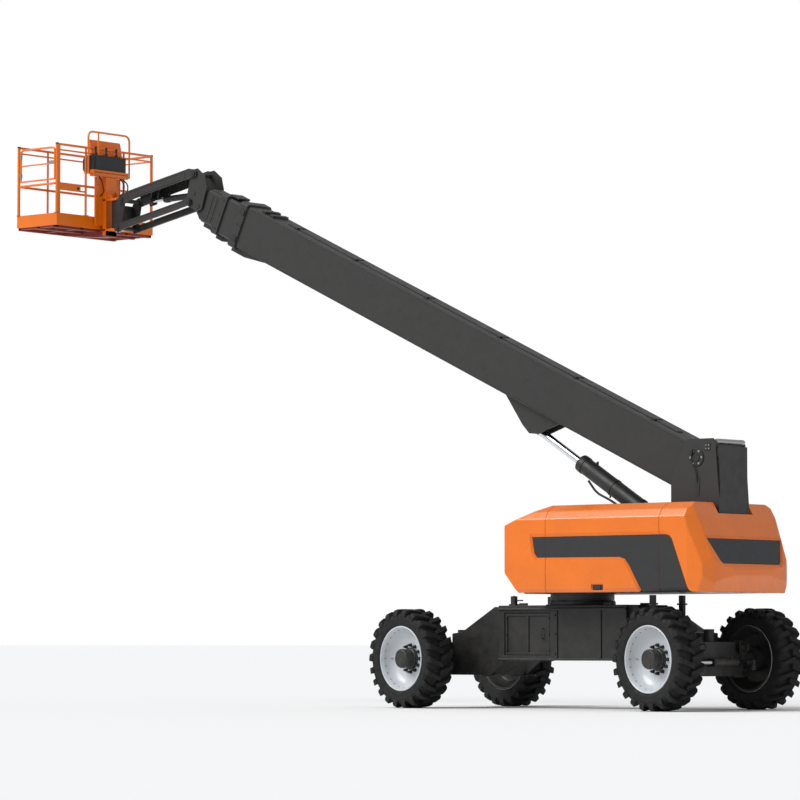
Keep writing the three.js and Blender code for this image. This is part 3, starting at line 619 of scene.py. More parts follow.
def tyre_shape():
    """The carcass with bars from both sides, half a pitch apart."""
    parts = [carcass()]
    pitch = 2 * math.pi / LUGS
    for i in range(LUGS):
        parts.append(lug(1, i * pitch))
        parts.append(lug(-1, (i + 0.5) * pitch))
    return gather(parts)


def rim_shape():
    """The dished rim, closed on both sides, with the bead's lips."""
    r = RIM_RADIUS
    profile = [
        (0.0, -0.024),
        (0.262, -0.024),
        (0.290, -0.040),
        (r - 0.045, -0.140),
        (r - 0.030, -0.163),
        (r - 0.004, -0.167),
        (r, -0.162),
        (r - 0.020, -0.130),
        (r - 0.022, 0.130),
        (r, 0.162),
        (r - 0.002, 0.168),
        (r - 0.009, 0.171),
        (r - 0.016, 0.168),
        (r - 0.022, 0.158),
        (r - 0.030, 0.140),
        (r - 0.036, 0.132),
        (r - 0.041, 0.105),
        (r - 0.062, 0.062),
        (r - 0.100, 0.026),
        (r - 0.150, 0.008),
        (r - 0.200, 0.002),
        (0.0, 0.002),
    ]
    return spun(profile, 96)


def hub_shape():
    """The hub's flange and drum, with the wheel studs and the cap's bolts."""
    flange = [
        (0.0, 0.001),
        (0.132, 0.001),
        (0.134, 0.004),
        (0.134, 0.020),
        (0.130, 0.024),
        (0.0, 0.024),
    ]
    drum = [
        (0.0, 0.010),
        (0.124, 0.010),
        (0.124, 0.038),
        (0.113, 0.046),
        (0.113, 0.118),
        (0.117, 0.122),
        (0.117, 0.150),
        (0.112, 0.164),
        (0.100, 0.172),
        (0.060, 0.174),
        (0.057, 0.177),
        (0.0, 0.178),
    ]
    parts = [spun(flange, 64), spun(drum, 64)]
    parts += ring_of(STUDS, STUD_CIRCLE, (0, 0.003, 0), ACROSS, wheel_stud)
    parts += bolt_ring(6, 0.085, (0, 0.172, 0), ACROSS, 0.016, 0.006)
    return gather(parts)


def wheel_stud(point, outwards):
    """A washer, a nut and the end of the stud."""
    return [
        stub(point - ACROSS * 0.002, ACROSS, 0.006, 0.023),
        stub(point, ACROSS, 0.030, 0.0195, 6, 0.003),
        stub(point, ACROSS, 0.050, 0.011, 16, 0.002),
    ]


def inner_dish():
    """The rim's inner side covered by a dark sheet, with the lip that meets the tyre's bead."""
    r = RIM_RADIUS
    outer = [
        (0.0, -0.0265),
        (0.262, -0.0265),
        (0.291, -0.043),
        (r - 0.047, -0.142),
        (r - 0.031, -0.1655),
        (r - 0.004, -0.1695),
    ]
    inner = [(radius, along + 0.0025) for radius, along in reversed(outer)]
    return spun([*outer, *inner], 72)


def rim_mark(point, outwards):
    """A small domed rivet low on the inside of the rim's lip."""
    inward = (-outwards + Vector((0, 0.25, 0))).normalized()
    return [rod(point + outwards * 0.004, point + inward * 0.004, 0.0065, 10, 0.001)]


def add_wheels():
    """The same wheel on each corner, turned to face outwards."""
    tyre, rim, hub = tyre_shape(), rim_shape(), hub_shape()
    marks = gather(ring_of(RIVETS, RIM_RADIUS - 0.0385, (0, 0.118, 0), ACROSS, rim_mark))
    dish = inner_dish()
    valve = gather([rod((0.30, 0.016, 0), (0.312, 0.062, 0), 0.005, 10, 0.001)])
    for corner in CORNERS:
        seat = wheel_matrix(corner)
        body = "wheel_" + corner
        piece(f"tyre_{corner}_tread", copied(tyre, seat), body, "rubber", ("tyre_" + corner,), 40)
        piece(f"rim_{corner}_dish", copied(rim, seat), body, "rim", ("rim_" + corner,))
        for name, shape in (("rim_inner_", dish), ("hub_", hub), ("rim_rivets_", marks)):
            piece(name + corner, copied(shape, seat), body, "charcoal_dark")
        piece("valve_" + corner, copied(valve, seat), body, "steel")
    for shape in (tyre, rim, hub, dish, marks, valve):
        shape.free()


add_wheels()

# ---------------------------------------------------------------- covers

COVER_NODES = (
    "front_cover_left",
    "front_cover_right",
    "side_door_left",
    "side_door_right",
    "counterweight",
)
COVER_HALF = 0.9
PAST_SIDE = 1.2
COVER_ROUNDING = 0.055
CUT_ROUNDING = 0.0022
COVER_WALL = 0.022
RECESS = 0.013
INNER_EDGE = 0.345
STRIPE_THICKNESS = 0.005
STRIPE_GAP = 0.003
SEAM = 0.0015
SLOT_END = SLEW_X + 2.262
LATCH_X = SLEW_X + 0.913


def cover_hull():
    """The convex outline round all covers, with whole faces."""
    shape = bmesh.new()
    for node in COVER_NODES:
        for vert in frame["nodes"][node].data.vertices:
            shape.verts.new(vert.co)
    bmesh.ops.remove_doubles(shape, verts=shape.verts, dist=1e-5)
    bmesh.ops.convex_hull(shape, input=shape.verts)
    inside = [v for v in shape.verts if not v.link_faces]
    bmesh.ops.delete(shape, geom=inside, context="VERTS")
    flat = math.radians(1.5)
    bmesh.ops.dissolve_limit(shape, angle_limit=flat, verts=shape.verts, edges=shape.edges)
    return shape


def shrunk(hull, wall):
    """The convex shape with every face moved inwards."""
    planes = [(f.calc_center_median() - f.normal * wall, f.normal.copy()) for f in hull.faces]
    shape = bmesh.new()
    bmesh.ops.create_cube(shape, size=1.0)
    low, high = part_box("counterweight")
    bmesh.ops.scale(shape, vec=(9.0, 3.0, 3.0), verts=shape.verts)
    bmesh.ops.translate(shape, vec=(low + high) / 2, verts=shape.verts)
    for point, normal in planes:
        cut = bmesh.ops.bisect_plane(
            shape,
            geom=[*shape.verts, *shape.edges, *shape.faces],
            dist=1e-7,
            plane_co=point,
            plane_no=normal,
            clear_outer=True,
        )
        rim = [e for e in cut["geom_cut"] if isinstance(e, bmesh.types.BMEdge)]
        if rim:
            bmesh.ops.contextual_create(shape, geom=rim)
    bmesh.ops.recalc_face_normals(shape, faces=shape.faces)
    return shape


HULL = cover_hull()


def rounded(wall):
    """The covers' outline at a depth below the surface, with soft edges between its planes."""
    return soften(shrunk(HULL, wall), COVER_ROUNDING, 4, math.radians(7))


def stripe_outline(grow):
    """The dark panel's outline on the side, grown all round: a band that turns down to the sill."""
    x = SLEW_X
    low = 1.30
    return [
        (x - 0.065 - grow, 2.045 + grow),
        (x - 0.030 - grow, 1.845),
        (x + 0.015 - grow * 0.5, 1.796 - grow),
        (x + 1.235 + grow * 0.2, 1.788 - grow),
        (x + 1.315 - grow * 0.3, 1.765 - grow * 0.6),
        (x + 1.375 - grow, 1.690),
        (x + 1.605 - grow, low),
        (SLOT_END + grow, low),
        (x + 1.995 + grow, 1.990),
        (x + 1.960 + grow * 0.7, 2.030 + grow * 0.5),
        (x + 1.900, 2.045 + grow),
    ]


def stripe_prism(side, grow):
    """The stripe's outline pushed through one side of the covers."""
    return prism(stripe_outline(grow), "Y", *spread(side, 0.6, 1.1), 0.0)


def rear_outline(grow):
    """The rear panel's outline in Y and Z, grown all round."""
    return [
        (-0.735 - grow, 1.995 + grow),
        (-0.60 - grow, 1.735),
        (-0.56 - grow * 0.5, 1.70 - grow),
        (0.56 + grow * 0.5, 1.70 - grow),
        (0.60 + grow, 1.735),
        (0.735 + grow, 1.995 + grow),
    ]


def rear_prism(grow):
    """The rear panel's outline pushed through the counterweight's back."""
    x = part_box("counterweight")[1].x
    return prism(rear_outline(grow), "X", x - 0.35, x + 0.2, 0.0)


def slab(x0, x1, y0, y1):
    """A cutter as tall as the covers."""
    return block((x0, y0, 1.2), (x1, y1, 2.6), 0.0)


def lips(prism_maker, *args):
    """Cutters for a recess with a stepped edge, from a wide shallow one to a narrow deep one."""
    steps = ((0.030, RECESS * 0.35), (0.015, RECESS * 0.7), (0.0, RECESS))
    return [
        boolean(prism_maker(*args, grow), [rounded(depth)], "DIFFERENCE") for grow, depth in steps
    ]


def infill(prism_shape, x0, x1, y0, y1):
    """The dark sheet on the floor of a recess."""
    outer = rounded(RECESS - STRIPE_THICKNESS)
    sheet = boolean(prism_shape, [outer, slab(x0, x1, y0, y1)], "INTERSECT")
    return boolean(sheet, [rounded(RECESS - 0.0005)], "DIFFERENCE")


def cover_panel(node, side):
    """A cover's shell with its share of the stripe."""
    low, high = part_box(node)
    y0, y1 = spread(side, INNER_EDGE, PAST_SIDE)
    shell = boolean(rounded(0.0), [slab(low.x, high.x, y0, y1)], "INTERSECT")
    hollow = rounded(COVER_WALL)
    below = copied(hollow, Matrix.Translation((0, 0, -0.06)))
    shell = boolean(shell, [hollow, below, *lips(stripe_prism, side)], "DIFFERENCE")
    if node.startswith("side_door"):
        shell = boolean(shell, [latch_pocket(side)], "DIFFERENCE")
    soften(shell, CUT_ROUNDING, 2, math.radians(50))
    piece(node + "_shell", shell, BODY_OF[node], "orange", (node,), 30)
    dark = infill(stripe_prism(side, -STRIPE_GAP), low.x + SEAM, high.x - SEAM, y0, y1)
    piece(node + "_stripe", dark, BODY_OF[node], "stripe", (), 30)


def latch_pocket(side):
    """A cutter for the shallow pocket round a door's latch."""
    x = LATCH_X
    outline = [(x - 0.115, 1.30), (x + 0.115, 1.30), (x + 0.085, 1.478), (x - 0.085, 1.478)]
    return prism(outline, "Y", *spread(side, COVER_HALF - 0.012, COVER_HALF + 0.1), 0.0)


def add_latch(side, word):
    """A door's latch: a plate in a pocket, a paddle and its lock."""
    x = LATCH_X
    plate = spread(side, COVER_HALF - 0.018, COVER_HALF - 0.0115)
    paddle = spread(side, COVER_HALF - 0.013, COVER_HALF - 0.002)
    lock = Vector((x + 0.062, side * (COVER_HALF - 0.014), 1.435))
    parts = [
        block((x - 0.078, plate[0], 1.404), (x + 0.078, plate[1], 1.470), 0.002),
        block((x - 0.048, paddle[0], 1.418), (x + 0.048, paddle[1], 1.452), 0.003),
        stub(lock, ACROSS * side, 0.008, 0.008, 16),
    ]
    piece("door_latch_" + word, parts, BODY_OF["side_door_" + word], "plastic")


def add_counterweight():
    """The casting behind the doors, with the stripes' ends and the rear panel."""
    low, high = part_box("counterweight")
    whole = boolean(rounded(0.0), [slab(low.x, high.x + 0.1, -PAST_SIDE, PAST_SIDE)], "INTERSECT")
    slot = slab(low.x - 0.1, SLOT_END, -INNER_EDGE, INNER_EDGE)
    deck = block((low.x - 0.1, -0.8505, 1.25), (SLEW_X + 2.15, 0.8505, 1.4155), 0.0)
    recesses = lips(stripe_prism, 1) + lips(stripe_prism, -1) + lips(rear_prism)
    whole = boolean(whole, [slot, deck, *recesses], "DIFFERENCE")
    soften(whole, CUT_ROUNDING, 2, math.radians(50))
    piece("counterweight_casting", whole, "turntable", "orange", ("counterweight",), 30)
    for side, word in SIDES:
        ends = spread(side, INNER_EDGE, PAST_SIDE)
        dark = infill(stripe_prism(side, -STRIPE_GAP), low.x + SEAM, high.x, *ends)
        piece("counterweight_stripe_" + word, dark, "turntable", "stripe", (), 30)
    start = SLEW_X + 2.2
    rear = infill(rear_prism(-STRIPE_GAP), start, high.x + 0.1, -PAST_SIDE, PAST_SIDE)
    piece("counterweight_rear_panel", rear, "turntable", "stripe", (), 30)


def add_covers():
    """The front covers, the doors with their latches, and the counterweight."""
    for side, word in SIDES:
        cover_panel("front_cover_" + word, side)
        cover_panel("side_door_" + word, side)
        add_latch(side, word)
    add_counterweight()


add_covers()

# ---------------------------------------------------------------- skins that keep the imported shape

SKINS = (
    ("chassis_frame", "charcoal_dark", 0.006),
    ("front_axle", "charcoal_dark", 0.006),
    ("rear_axle", "charcoal_dark", 0.006),
    ("turntable_frame", "charcoal", 0.004),
    ("boom_outer", "charcoal", 0.010),
    ("boom_mid", "charcoal", 0.008),
    ("boom_fly", "charcoal", 0.006),
    ("jib_arm", "charcoal", 0.005),
    ("jib_link_left", "charcoal", 0.004),
    ("jib_link_right", "charcoal", 0.004),
    ("jib_head", "charcoal", 0.004),
    ("platform_bracket", "charcoal_dark", 0.004),
    ("engine", "iron", 0.012),
    ("basket_floor", "floor_sheet", 0.002),
    ("basket_toe_board", "orange_frame", 0.003),
    ("steer_cylinder_front", "charcoal_dark", 0.003),
    ("steer_cylinder_rear", "charcoal_dark", 0.003),
    *(("knuckle_" + corner, "iron", 0.005) for corner in CORNERS),
)
for node, finish, width in SKINS:
    dressed(node, finish, width)

# ---------------------------------------------------------------- bays behind the doors

TANK_LOW = 1.418
TANK_INSIDE = -0.41
TANK_OUTSIDE = -0.79
TANK_ROUNDING = 0.035
STRAP_HALF = 0.02
STRAP_RISE = 0.003


def add_tank(name, x0, x1, top):
    """A tank in the left bay with a filler cap and two straps."""
    low, high = Vector((x0, TANK_OUTSIDE, TANK_LOW)), Vector((x1, TANK_INSIDE, top))
    filler = (x0 + 0.14, TANK_OUTSIDE + 0.14, top - 0.004)
    parts = [block(low, high, TANK_ROUNDING, 4), stub(filler, UP, 0.045, 0.05, 24, 0.008)]
    piece(name, parts, "turntable", "charcoal")
    straps = []
    for share in (0.24, 0.76):
        x = x0 + (x1 - x0) * share
        near = (x - STRAP_HALF, TANK_OUTSIDE - STRAP_RISE, TANK_LOW)
        far = (x + STRAP_HALF, TANK_INSIDE + STRAP_RISE, top + STRAP_RISE)
        straps.append(block(near, far, 0.003, 1))
    piece(name + "_straps", straps, "turntable", "iron")


def add_engine_details():
    """The rocker cover with its nuts, the air cleaner with its hose, and the belt's pulleys."""
    low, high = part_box("engine")
    y, top = 0.55, high.z - 0.004
    cover = block((low.x + 0.14, low.y + 0.10, top), (high.x - 0.30, 0.62, high.z + 0.06), 0.015, 3)
    parts = [cover]
    for along in (0.24, 0.42, 0.60):
        parts.append(stub((low.x + along, 0.56, high.z + 0.05), UP, 0.02, 0.012, 6))
    piece("engine_rocker_cover", parts, "turntable", "charcoal_dark")
    x = high.x - 0.14
    cleaner = stub((x, y, top), UP, 0.15, 0.085, 32, 0.01)
    hose = pipe([(x, y, top + 0.11), (x - 0.20, y, top + 0.11), (x - 0.30, y, top)], 0.03, 0.05)
    piece("engine_air_cleaner", [cleaner, hose], "turntable", "plastic")
    pulleys = [
        stub((low.x + 0.004, 0.60, height), (-1, 0, 0), 0.05, radius, 40, 0.004)
        for height, radius in ((1.62, 0.10), (1.86, 0.07))
    ]
    piece("engine_pulleys", pulleys, "turntable", "charcoal_dark")


add_tank("fuel_tank", 3.44, 4.02, 1.96)
add_tank("oil_tank", 4.14, 4.70, 2.04)
add_engine_details()

# ---------------------------------------------------------------- cylinders

Cylinder = namedtuple("Cylinder", "radius length rod_radius pin eye bush_half eye_half rod_start")
LIFT = Cylinder(
    radius=0.104,
    length=1.790,
    rod_radius=0.048,
    pin=0.036,
    eye=0.058,
    bush_half=0.120,
    eye_half=0.078,
    rod_start=0.600,
)
JIB = Cylinder(
    radius=0.042,
    length=0.690,
    rod_radius=0.022,
    pin=0.028,
    eye=0.038,
    bush_half=0.042,
    eye_half=0.042,
    rod_start=0.312,
)
LIFT_HOSE = ((1.58, 0.13), (1.40, 0.19), (1.16, 0.155), (0.62, 0.14), (0.38, 0.18))
BAND_INNER, BAND_OUTER, BAND_WIDTH = 0.1035, 0.110, 0.030
STEER_HEIGHT = 0.560


def across(centre, half, radius, sides=32, width=0.002):
    """A round bar from side to side of the machine."""
    reach = ACROSS * half
    return rod(centre - reach, centre + reach, radius, sides, width)


def tube_along(profile, start, direction):
    """A closed profile of (radius, distance) turned about a line."""
    turn = ACROSS.rotation_difference(direction).to_matrix().to_4x4()
    return moved(spun(profile, 48), Matrix.Translation(start) @ turn)


def barrel_profile(size, dead_end):
    """The barrel's section: a closed end, a long tube, and a gland with a chamfered collar."""
    radius, length, bore = size.radius, size.length, size.rod_radius + 0.003
    return [
        (0.0, dead_end - 0.040),
        (radius - 0.010, dead_end - 0.040),
        (radius, dead_end - 0.030),
        (radius, length - 0.094),
        (radius + 0.003, length - 0.090),
        (radius + 0.007, length - 0.086),
        (radius + 0.007, length - 0.030),
        (radius + 0.003, length - 0.026),
        (radius + 0.003, length - 0.006),
        (radius - 0.004, length),
        (bore, length),
        (bore, dead_end),
        (0.0, dead_end),
    ]


def ring_tube(centre, half, outer, inner):
    """A bush: a short tube from side to side."""
    profile = [
        (inner, -half),
        (outer - 0.003, -half),
        (outer, -half + 0.003),
        (outer, half - 0.003),
        (outer - 0.003, half),
        (inner, half),
        (inner, -half),
    ]
    return moved(spun(profile, 48), Matrix.Translation(centre))


def neck_block(base, run, side, size):
    """The block between a barrel's dead end and its bush."""
    half, rise = size.bush_half * 0.7, size.radius * 0.72
    shape = block((-rise, -half, size.pin + 0.012), (rise, half, size.pin + 0.090), 0.005)
    basis = Matrix((side, ACROSS, run)).transposed().to_4x4()
    return moved(shape, Matrix.Translation(base) @ basis)


def cylinder_lines(name):
    """A cylinder's base pin, the way its rod slides and the way square to it, upright."""
    run = Vector(JOINTS[name + "_rod_slide"]["axis"])
    return Vector(JOINTS[name + "_barrel_tilt"]["pos_m"]), run, ACROSS.cross(run)


def add_cylinder(name, size):
    """A hydraulic cylinder from its base pin to its rod's eye."""
    barrel_node, rod_node = (BODY_NODES[name + end][0] for end in ("_barrel", "_rod"))
    base, run, side = cylinder_lines(name)
    barrel = [
        tube_along(barrel_profile(size, size.pin + 0.110), base, run),
        ring_tube(base, size.bush_half, size.pin + 0.045, size.pin + 0.003),
        neck_block(base, run, side, size),
    ]
    for share in (0.16, 0.88):
        port = base + run * (size.length * share) + side * (size.radius * 0.96)
        barrel.append(stub(port, side, 0.022, 0.020, 24, 0.002))
        barrel.append(stub(port + side * 0.02, side, 0.020, 0.013, 6))
    piece(name + "_barrel_tube", barrel, name + "_barrel", "charcoal_dark", (barrel_node,))
    reach = max((v.co - base).dot(run) for v in frame["nodes"][rod_node].data.vertices)
    eye_at = base + run * (reach - size.eye)
    start, end = base + run * size.rod_start, eye_at - run * size.eye * 0.6
    shaft = rod(start, end, size.rod_radius, 48, 0.003)
    piece(name + "_rod_shaft", [shaft], name + "_rod", "chrome", (rod_node,))
    head = [
        across(eye_at, size.eye_half, size.eye, 40, 0.004),
        stub(eye_at - run * size.eye * 1.7, run, size.eye * 1.2, size.eye * 0.9, 40, 0.005),
    ]
    piece(name + "_rod_eye", head, name + "_rod", "charcoal_dark")


def add_lift_hose():
    """The hose under the lift barrel, with two straps."""
    base, run, side = cylinder_lines("lift")
    under = side if side.z < 0 else -side
    route = [base + run * along + under * drop for along, drop in LIFT_HOSE]
    piece("lift_hose", [pipe(route, 0.014, 0.08)], "lift_barrel", "hose")
    inner, outer, width = BAND_INNER, BAND_OUTER, BAND_WIDTH
    band = [(inner, 0.0), (outer, 0.0), (outer, width), (inner, width), (inner, 0.0)]
    straps = []
    for along in (0.72, 1.18):
        middle = base + run * along
        straps.append(tube_along(band, middle, run))
        straps.append(stub(middle + under * 0.106 + run * 0.015, under, 0.030, 0.012, 6))
    piece("lift_hose_straps", straps, "lift_barrel", "charcoal_dark")


def add_steering():
    """The double-ended steering rods with their ball ends, and the glands they slide in."""
    for end in ("front", "rear"):
        node = "steer_rod_" + end
        low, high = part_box(node)
        centre = Vector(((low.x + high.x) / 2, 0, STEER_HEIGHT))
        ends = (low.y + 0.038, high.y - 0.038)
        shaft = rod(centre + ACROSS * ends[0], centre + ACROSS * ends[1], 0.022)
        piece(node + "_shaft", [shaft], BODY_OF[node], "chrome", (node,))
        eyes = []
        for y, way in zip(ends, (ACROSS, -ACROSS)):
            ball = centre + ACROSS * y
            eyes.append(stub(ball - UP * 0.027, UP, 0.057, 0.037, 32, 0.005))
            eyes.append(stub(ball + way * 0.03, way, 0.09, 0.029, 24, 0.004))
            eyes.append(stub(ball + way * 0.12, way, 0.02, 0.031, 6, 0.002))
        piece(node + "_ends", eyes, BODY_OF[node], "charcoal_dark")
        glands = []
        for side in (-1, 1):
            way = ACROSS * side
            glands.append(stub(centre + way * 0.205, way, 0.029, 0.050, 36, 0.004))
            glands.append(stub(centre + way * 0.15 + UP * 0.040, UP, 0.030, 0.014, 6))
        bored = boolean(gather(glands), [across(centre, 0.3, 0.025, 32, 0.0)], "DIFFERENCE")
        piece("steer_gland_" + end, bored, "chassis", "charcoal_dark")


add_cylinder("lift", LIFT)
add_lift_hose()
add_cylinder("jib", JIB)
add_steering()

# ---------------------------------------------------------------- work platform

BASKET_FRONT, BASKET_BACK = -8.870, -8.110
BASKET_HALF = 0.915
RAIL, POST, THIN_RAIL = 0.016, 0.020, 0.011
RAIL_TOP, RAIL_SECOND, RAIL_MIDDLE = 7.426, 7.352, 6.900
TOE_TOP = 6.5055
MIDDLE_POST = 0.360
STOP_TOP = RAIL_TOP - 0.01
GATE_LOW, GATE_HIGH = 6.960, 7.385
GATE_TUBE, GATE_GAP = 0.014, 0.007
BEARER_LOW, RUNNER_LOW, BEARER_TOP = 6.306, 6.316, 6.3395
ROTATOR_X = -7.870
CONSOLE_X = SLEW_X + BASKET_BACK
CONSOLE_LOW, CONSOLE_HIGH, CONSOLE_HALF = 7.102, 7.330, 0.310
SHELF_LOW, SHELF_TOP = 7.044, 7.128
HOOP_HALF, HOOP_LOW, HOOP_TOP = 0.390, 7.075, 7.640


def tube(points, radius, bend=0.05, closed=False):
    """A bent tube through points given from the slew axis."""
    return pipe([place(*point) for point in points], radius, bend, 18, closed)


def upright_tube(x, y, low, high, radius):
    """A straight upright tube at a point given from the slew axis."""
    return rod(place(x, y, low), place(x, y, high), radius, 24, 0.001)


def side_posts(x):
    """Posts and the second rail of one long side, with feet on the toe board."""
    end_y = BASKET_HALF - RAIL
    parts = [tube([(x, -end_y, RAIL_SECOND), (x, end_y, RAIL_SECOND)], THIN_RAIL, 0.0)]
    posts = ((-end_y, POST), (-MIDDLE_POST, RAIL * 0.9), (MIDDLE_POST, RAIL * 0.9), (end_y, POST))
    for y, radius in posts:
        parts.append(upright_tube(x, y, TOE_TOP, RAIL_TOP, radius))
        near, far = (x - 0.026, y - 0.034, TOE_TOP), (x + 0.026, y + 0.034, TOE_TOP + 0.006)
        parts.append(placed_block(near, far, 0.001))
    return parts


def add_basket():
    """The rails in two halves, the caps on the posts, the gate and the underside."""
    front_x, back_x, end_y = BASKET_FRONT + RAIL, BASKET_BACK - RAIL, BASKET_HALF - RAIL
    near = back_x - 0.026
    top = [(front_x, -end_y, RAIL_TOP), (front_x, end_y, RAIL_TOP), (near, end_y, RAIL_TOP)]
    middle = [(near, -end_y), (front_x, -end_y), (front_x, end_y), (near, end_y)]
    front = [
        *side_posts(front_x),
        tube(top, RAIL),
        tube([(x, y, RAIL_MIDDLE) for x, y in middle], RAIL),
        tube([(front_x, end_y, RAIL_SECOND), (near, end_y, RAIL_SECOND)], THIN_RAIL, 0.0),
    ]
    piece("basket_front_tubes", front, "platform", "orange_frame", ("basket_front_rails",))
    low, high = (back_x - 0.014, -end_y - 0.014, TOE_TOP), (back_x + 0.014, -end_y + 0.052, STOP_TOP)
    back = [*side_posts(back_x), placed_block(low, high, 0.004)]
    back.append(placed_block((back_x + 0.010, -0.860, 6.812), (back_x + 0.015, -0.470, 6.902), 0.002))
    for z, radius, y0, y1 in (
        (RAIL_TOP, RAIL, -end_y, end_y),
        (RAIL_MIDDLE, RAIL, -end_y, end_y),
        (RAIL_MIDDLE - 0.075, THIN_RAIL, -end_y + 0.03, -MIDDLE_POST),
    ):
        back.append(tube([(back_x, y0, z), (back_x, y1, z)], radius, 0.0))
    piece("basket_back_tubes", back, "platform", "orange_frame", ("basket_back_rails",))
    caps = [
        upright_tube(x, y, RAIL_TOP - 0.004, RAIL_TOP + 0.0165, POST + 0.0015)
        for x in (front_x, back_x)
        for y in (-end_y, end_y)
    ]
    caps.append(stub(place(back_x + 0.012, -0.52, 6.856), (1, 0, 0), 0.018, 0.016, 20, 0.003))
    piece("basket_post_caps", caps, "platform", "plastic")
    add_gate(-end_y)
    add_underside()


def add_gate(y):
    """The half gate at the left end, with its hinges and latch."""
    reach = RAIL + POST + GATE_TUBE + GATE_GAP
    hinge, latch = BASKET_FRONT + reach, BASKET_BACK - reach
    middle = (GATE_LOW + GATE_HIGH) / 2
    loop = [(hinge, GATE_LOW), (hinge, GATE_HIGH), (latch, GATE_HIGH), (latch, GATE_LOW)]
    parts = [
        tube([(x, y, z) for x, z in loop], GATE_TUBE, 0.06, True),
        tube([(hinge, y, middle), (latch, y, middle)], 0.010, 0.0),
    ]
    piece("gate_frame", parts, "gate", "orange_frame", ("basket_gate",))
    fittings = [upright_tube(hinge, y, z - 0.03, z + 0.03, 0.0185) for z in (7.04, 7.30)]
    near, far = (latch - 0.10, y - 0.0155, 7.16), (latch - 0.01, y - 0.0085, 7.21)
    fittings.append(placed_block(near, far, 0.002))
    piece("gate_fittings", fittings, "gate", "steel")


def add_underside():
    """The underside, its orange drawn dark red as painted shade: a tapered bearer in the middle and cross bearers
    under the floor.
    """
    front, back = BASKET_FRONT, BASKET_BACK
    tip, heel = front + 0.06, -8.0
    under = ((heel, 6.3145), (heel, 6.241), (-8.18, 6.241), (tip, 6.300))
    beam = [(x + SLEW_X, z) for x, z in (*under, (tip, 6.339), (heel, 6.339))]
    parts = [prism(beam, "Y", -0.104, 0.104)]
    for x in (front + 0.02, (front + back) / 2, back - 0.07):
        near, far = (x, -0.905, BEARER_LOW), (x + 0.05, 0.905, BEARER_TOP)
        parts.append(placed_block(near, far, 0.002))
    for y in (-0.905, -0.45, 0.40, 0.855):
        near, far = (front + 0.02, y, RUNNER_LOW), (back - 0.02, y + 0.05, BEARER_TOP)
        parts.append(placed_block(near, far, 0.002))
    # Painted shade: the orange underframe is drawn dark red for the shade beneath the basket.
    piece("basket_underframe", parts, "platform", "maroon")


def add_column():
    """The folded column that carries the basket, with its two shelves round the rotator."""
    parts = [
        placed_block((-8.062, -0.105, 6.718), (-7.800, 0.105, 6.746), 0.004),
        placed_block((-8.062, -0.105, 6.314), (-7.800, 0.105, 6.342), 0.004),
        placed_block((-8.064, -0.105, 6.250), (-8.000, 0.105, 7.040), 0.006),
        placed_block((-8.085, -0.240, 6.392), (-8.064, 0.240, 7.040), 0.004),
    ]
    for y in (-0.232, 0.220):
        parts.append(placed_block((-8.066, y, 6.40), (-8.058, y + 0.012, 7.030), 0.002))
    for z in (6.80, 6.95):
        parts.append(placed_block((-8.066, -0.220, z), (-8.056, 0.220, z + 0.012), 0.002))
    gusset = [(SLEW_X - 8.002, 6.744), (SLEW_X - 7.880, 6.744), (SLEW_X - 8.002, 6.860)]
    for y in (-0.085, 0.073):
        parts.append(prism(gusset, "Y", y, y + 0.012, 0.001))
    piece("platform_column", parts, "platform", "orange_frame", ("platform_support",))
    steel = [
        stub(place(ROTATOR_X, 0, 6.322), UP, 0.416, 0.030, 32, 0.002),
        stub(place(ROTATOR_X, 0, 6.744), UP, 0.022, 0.044, 6, 0.003),
        stub(place(ROTATOR_X, 0, 6.296), UP, 0.020, 0.044, 6, 0.003),
    ]
    for x, y in ((-7.975, 0.07), (-7.975, -0.07), (-7.83, 0.08), (-7.83, -0.08)):
        steel += bolt(place(x, y, 6.745), UP, 0.022, 0.012)
    for y in (-0.215, 0.215):
        for z in (6.46, 6.62, 6.90):
            steel += bolt(place(-8.0845, y, z), (-1, 0, 0), 0.018, 0.010)
    piece("platform_column_bolts", steel, "platform", "steel")
    cables = []
    for y, low, out in ((-0.20, 6.83, 0.05), (0.19, 6.85, 0.03), (0.225, 6.80, 0.06)):
        ends = (-8.03, y, 7.045), (-8.03, y * 0.9, low - 0.05)
        bends = (-8.0 + out, y * 1.15, 6.97), (-7.985 + out, y, low)
        cables.append(tube([ends[0], *bends, ends[1]], 0.009, 0.08))
    piece("platform_cables", cables, "platform", "hose")


def add_console_box():
    """The console's box with a raised front panel and end plates."""
    x, low, high, half = CONSOLE_X, CONSOLE_LOW, CONSOLE_HIGH, CONSOLE_HALF
    body = [
        (x + 0.080, low),
        (x - 0.100, low),
        (x - 0.130, low + 0.040),
        (x - 0.130, high - 0.060),
        (x - 0.090, high),
        (x + 0.080, high),
    ]
    shell = [
        prism(body, "Y", -half, half, 0.008, 3),
        block((x + 0.078, -half + 0.03, low + 0.02), (x + 0.086, half - 0.03, high - 0.02), 0.002),
    ]
    for y in (-half - 0.004, half - 0.008):
        shell.append(block((x - 0.06, y, low + 0.05), (x + 0.03, y + 0.012, high - 0.05), 0.002))
    piece("console_box", shell, "platform", "plastic", ("control_console",))


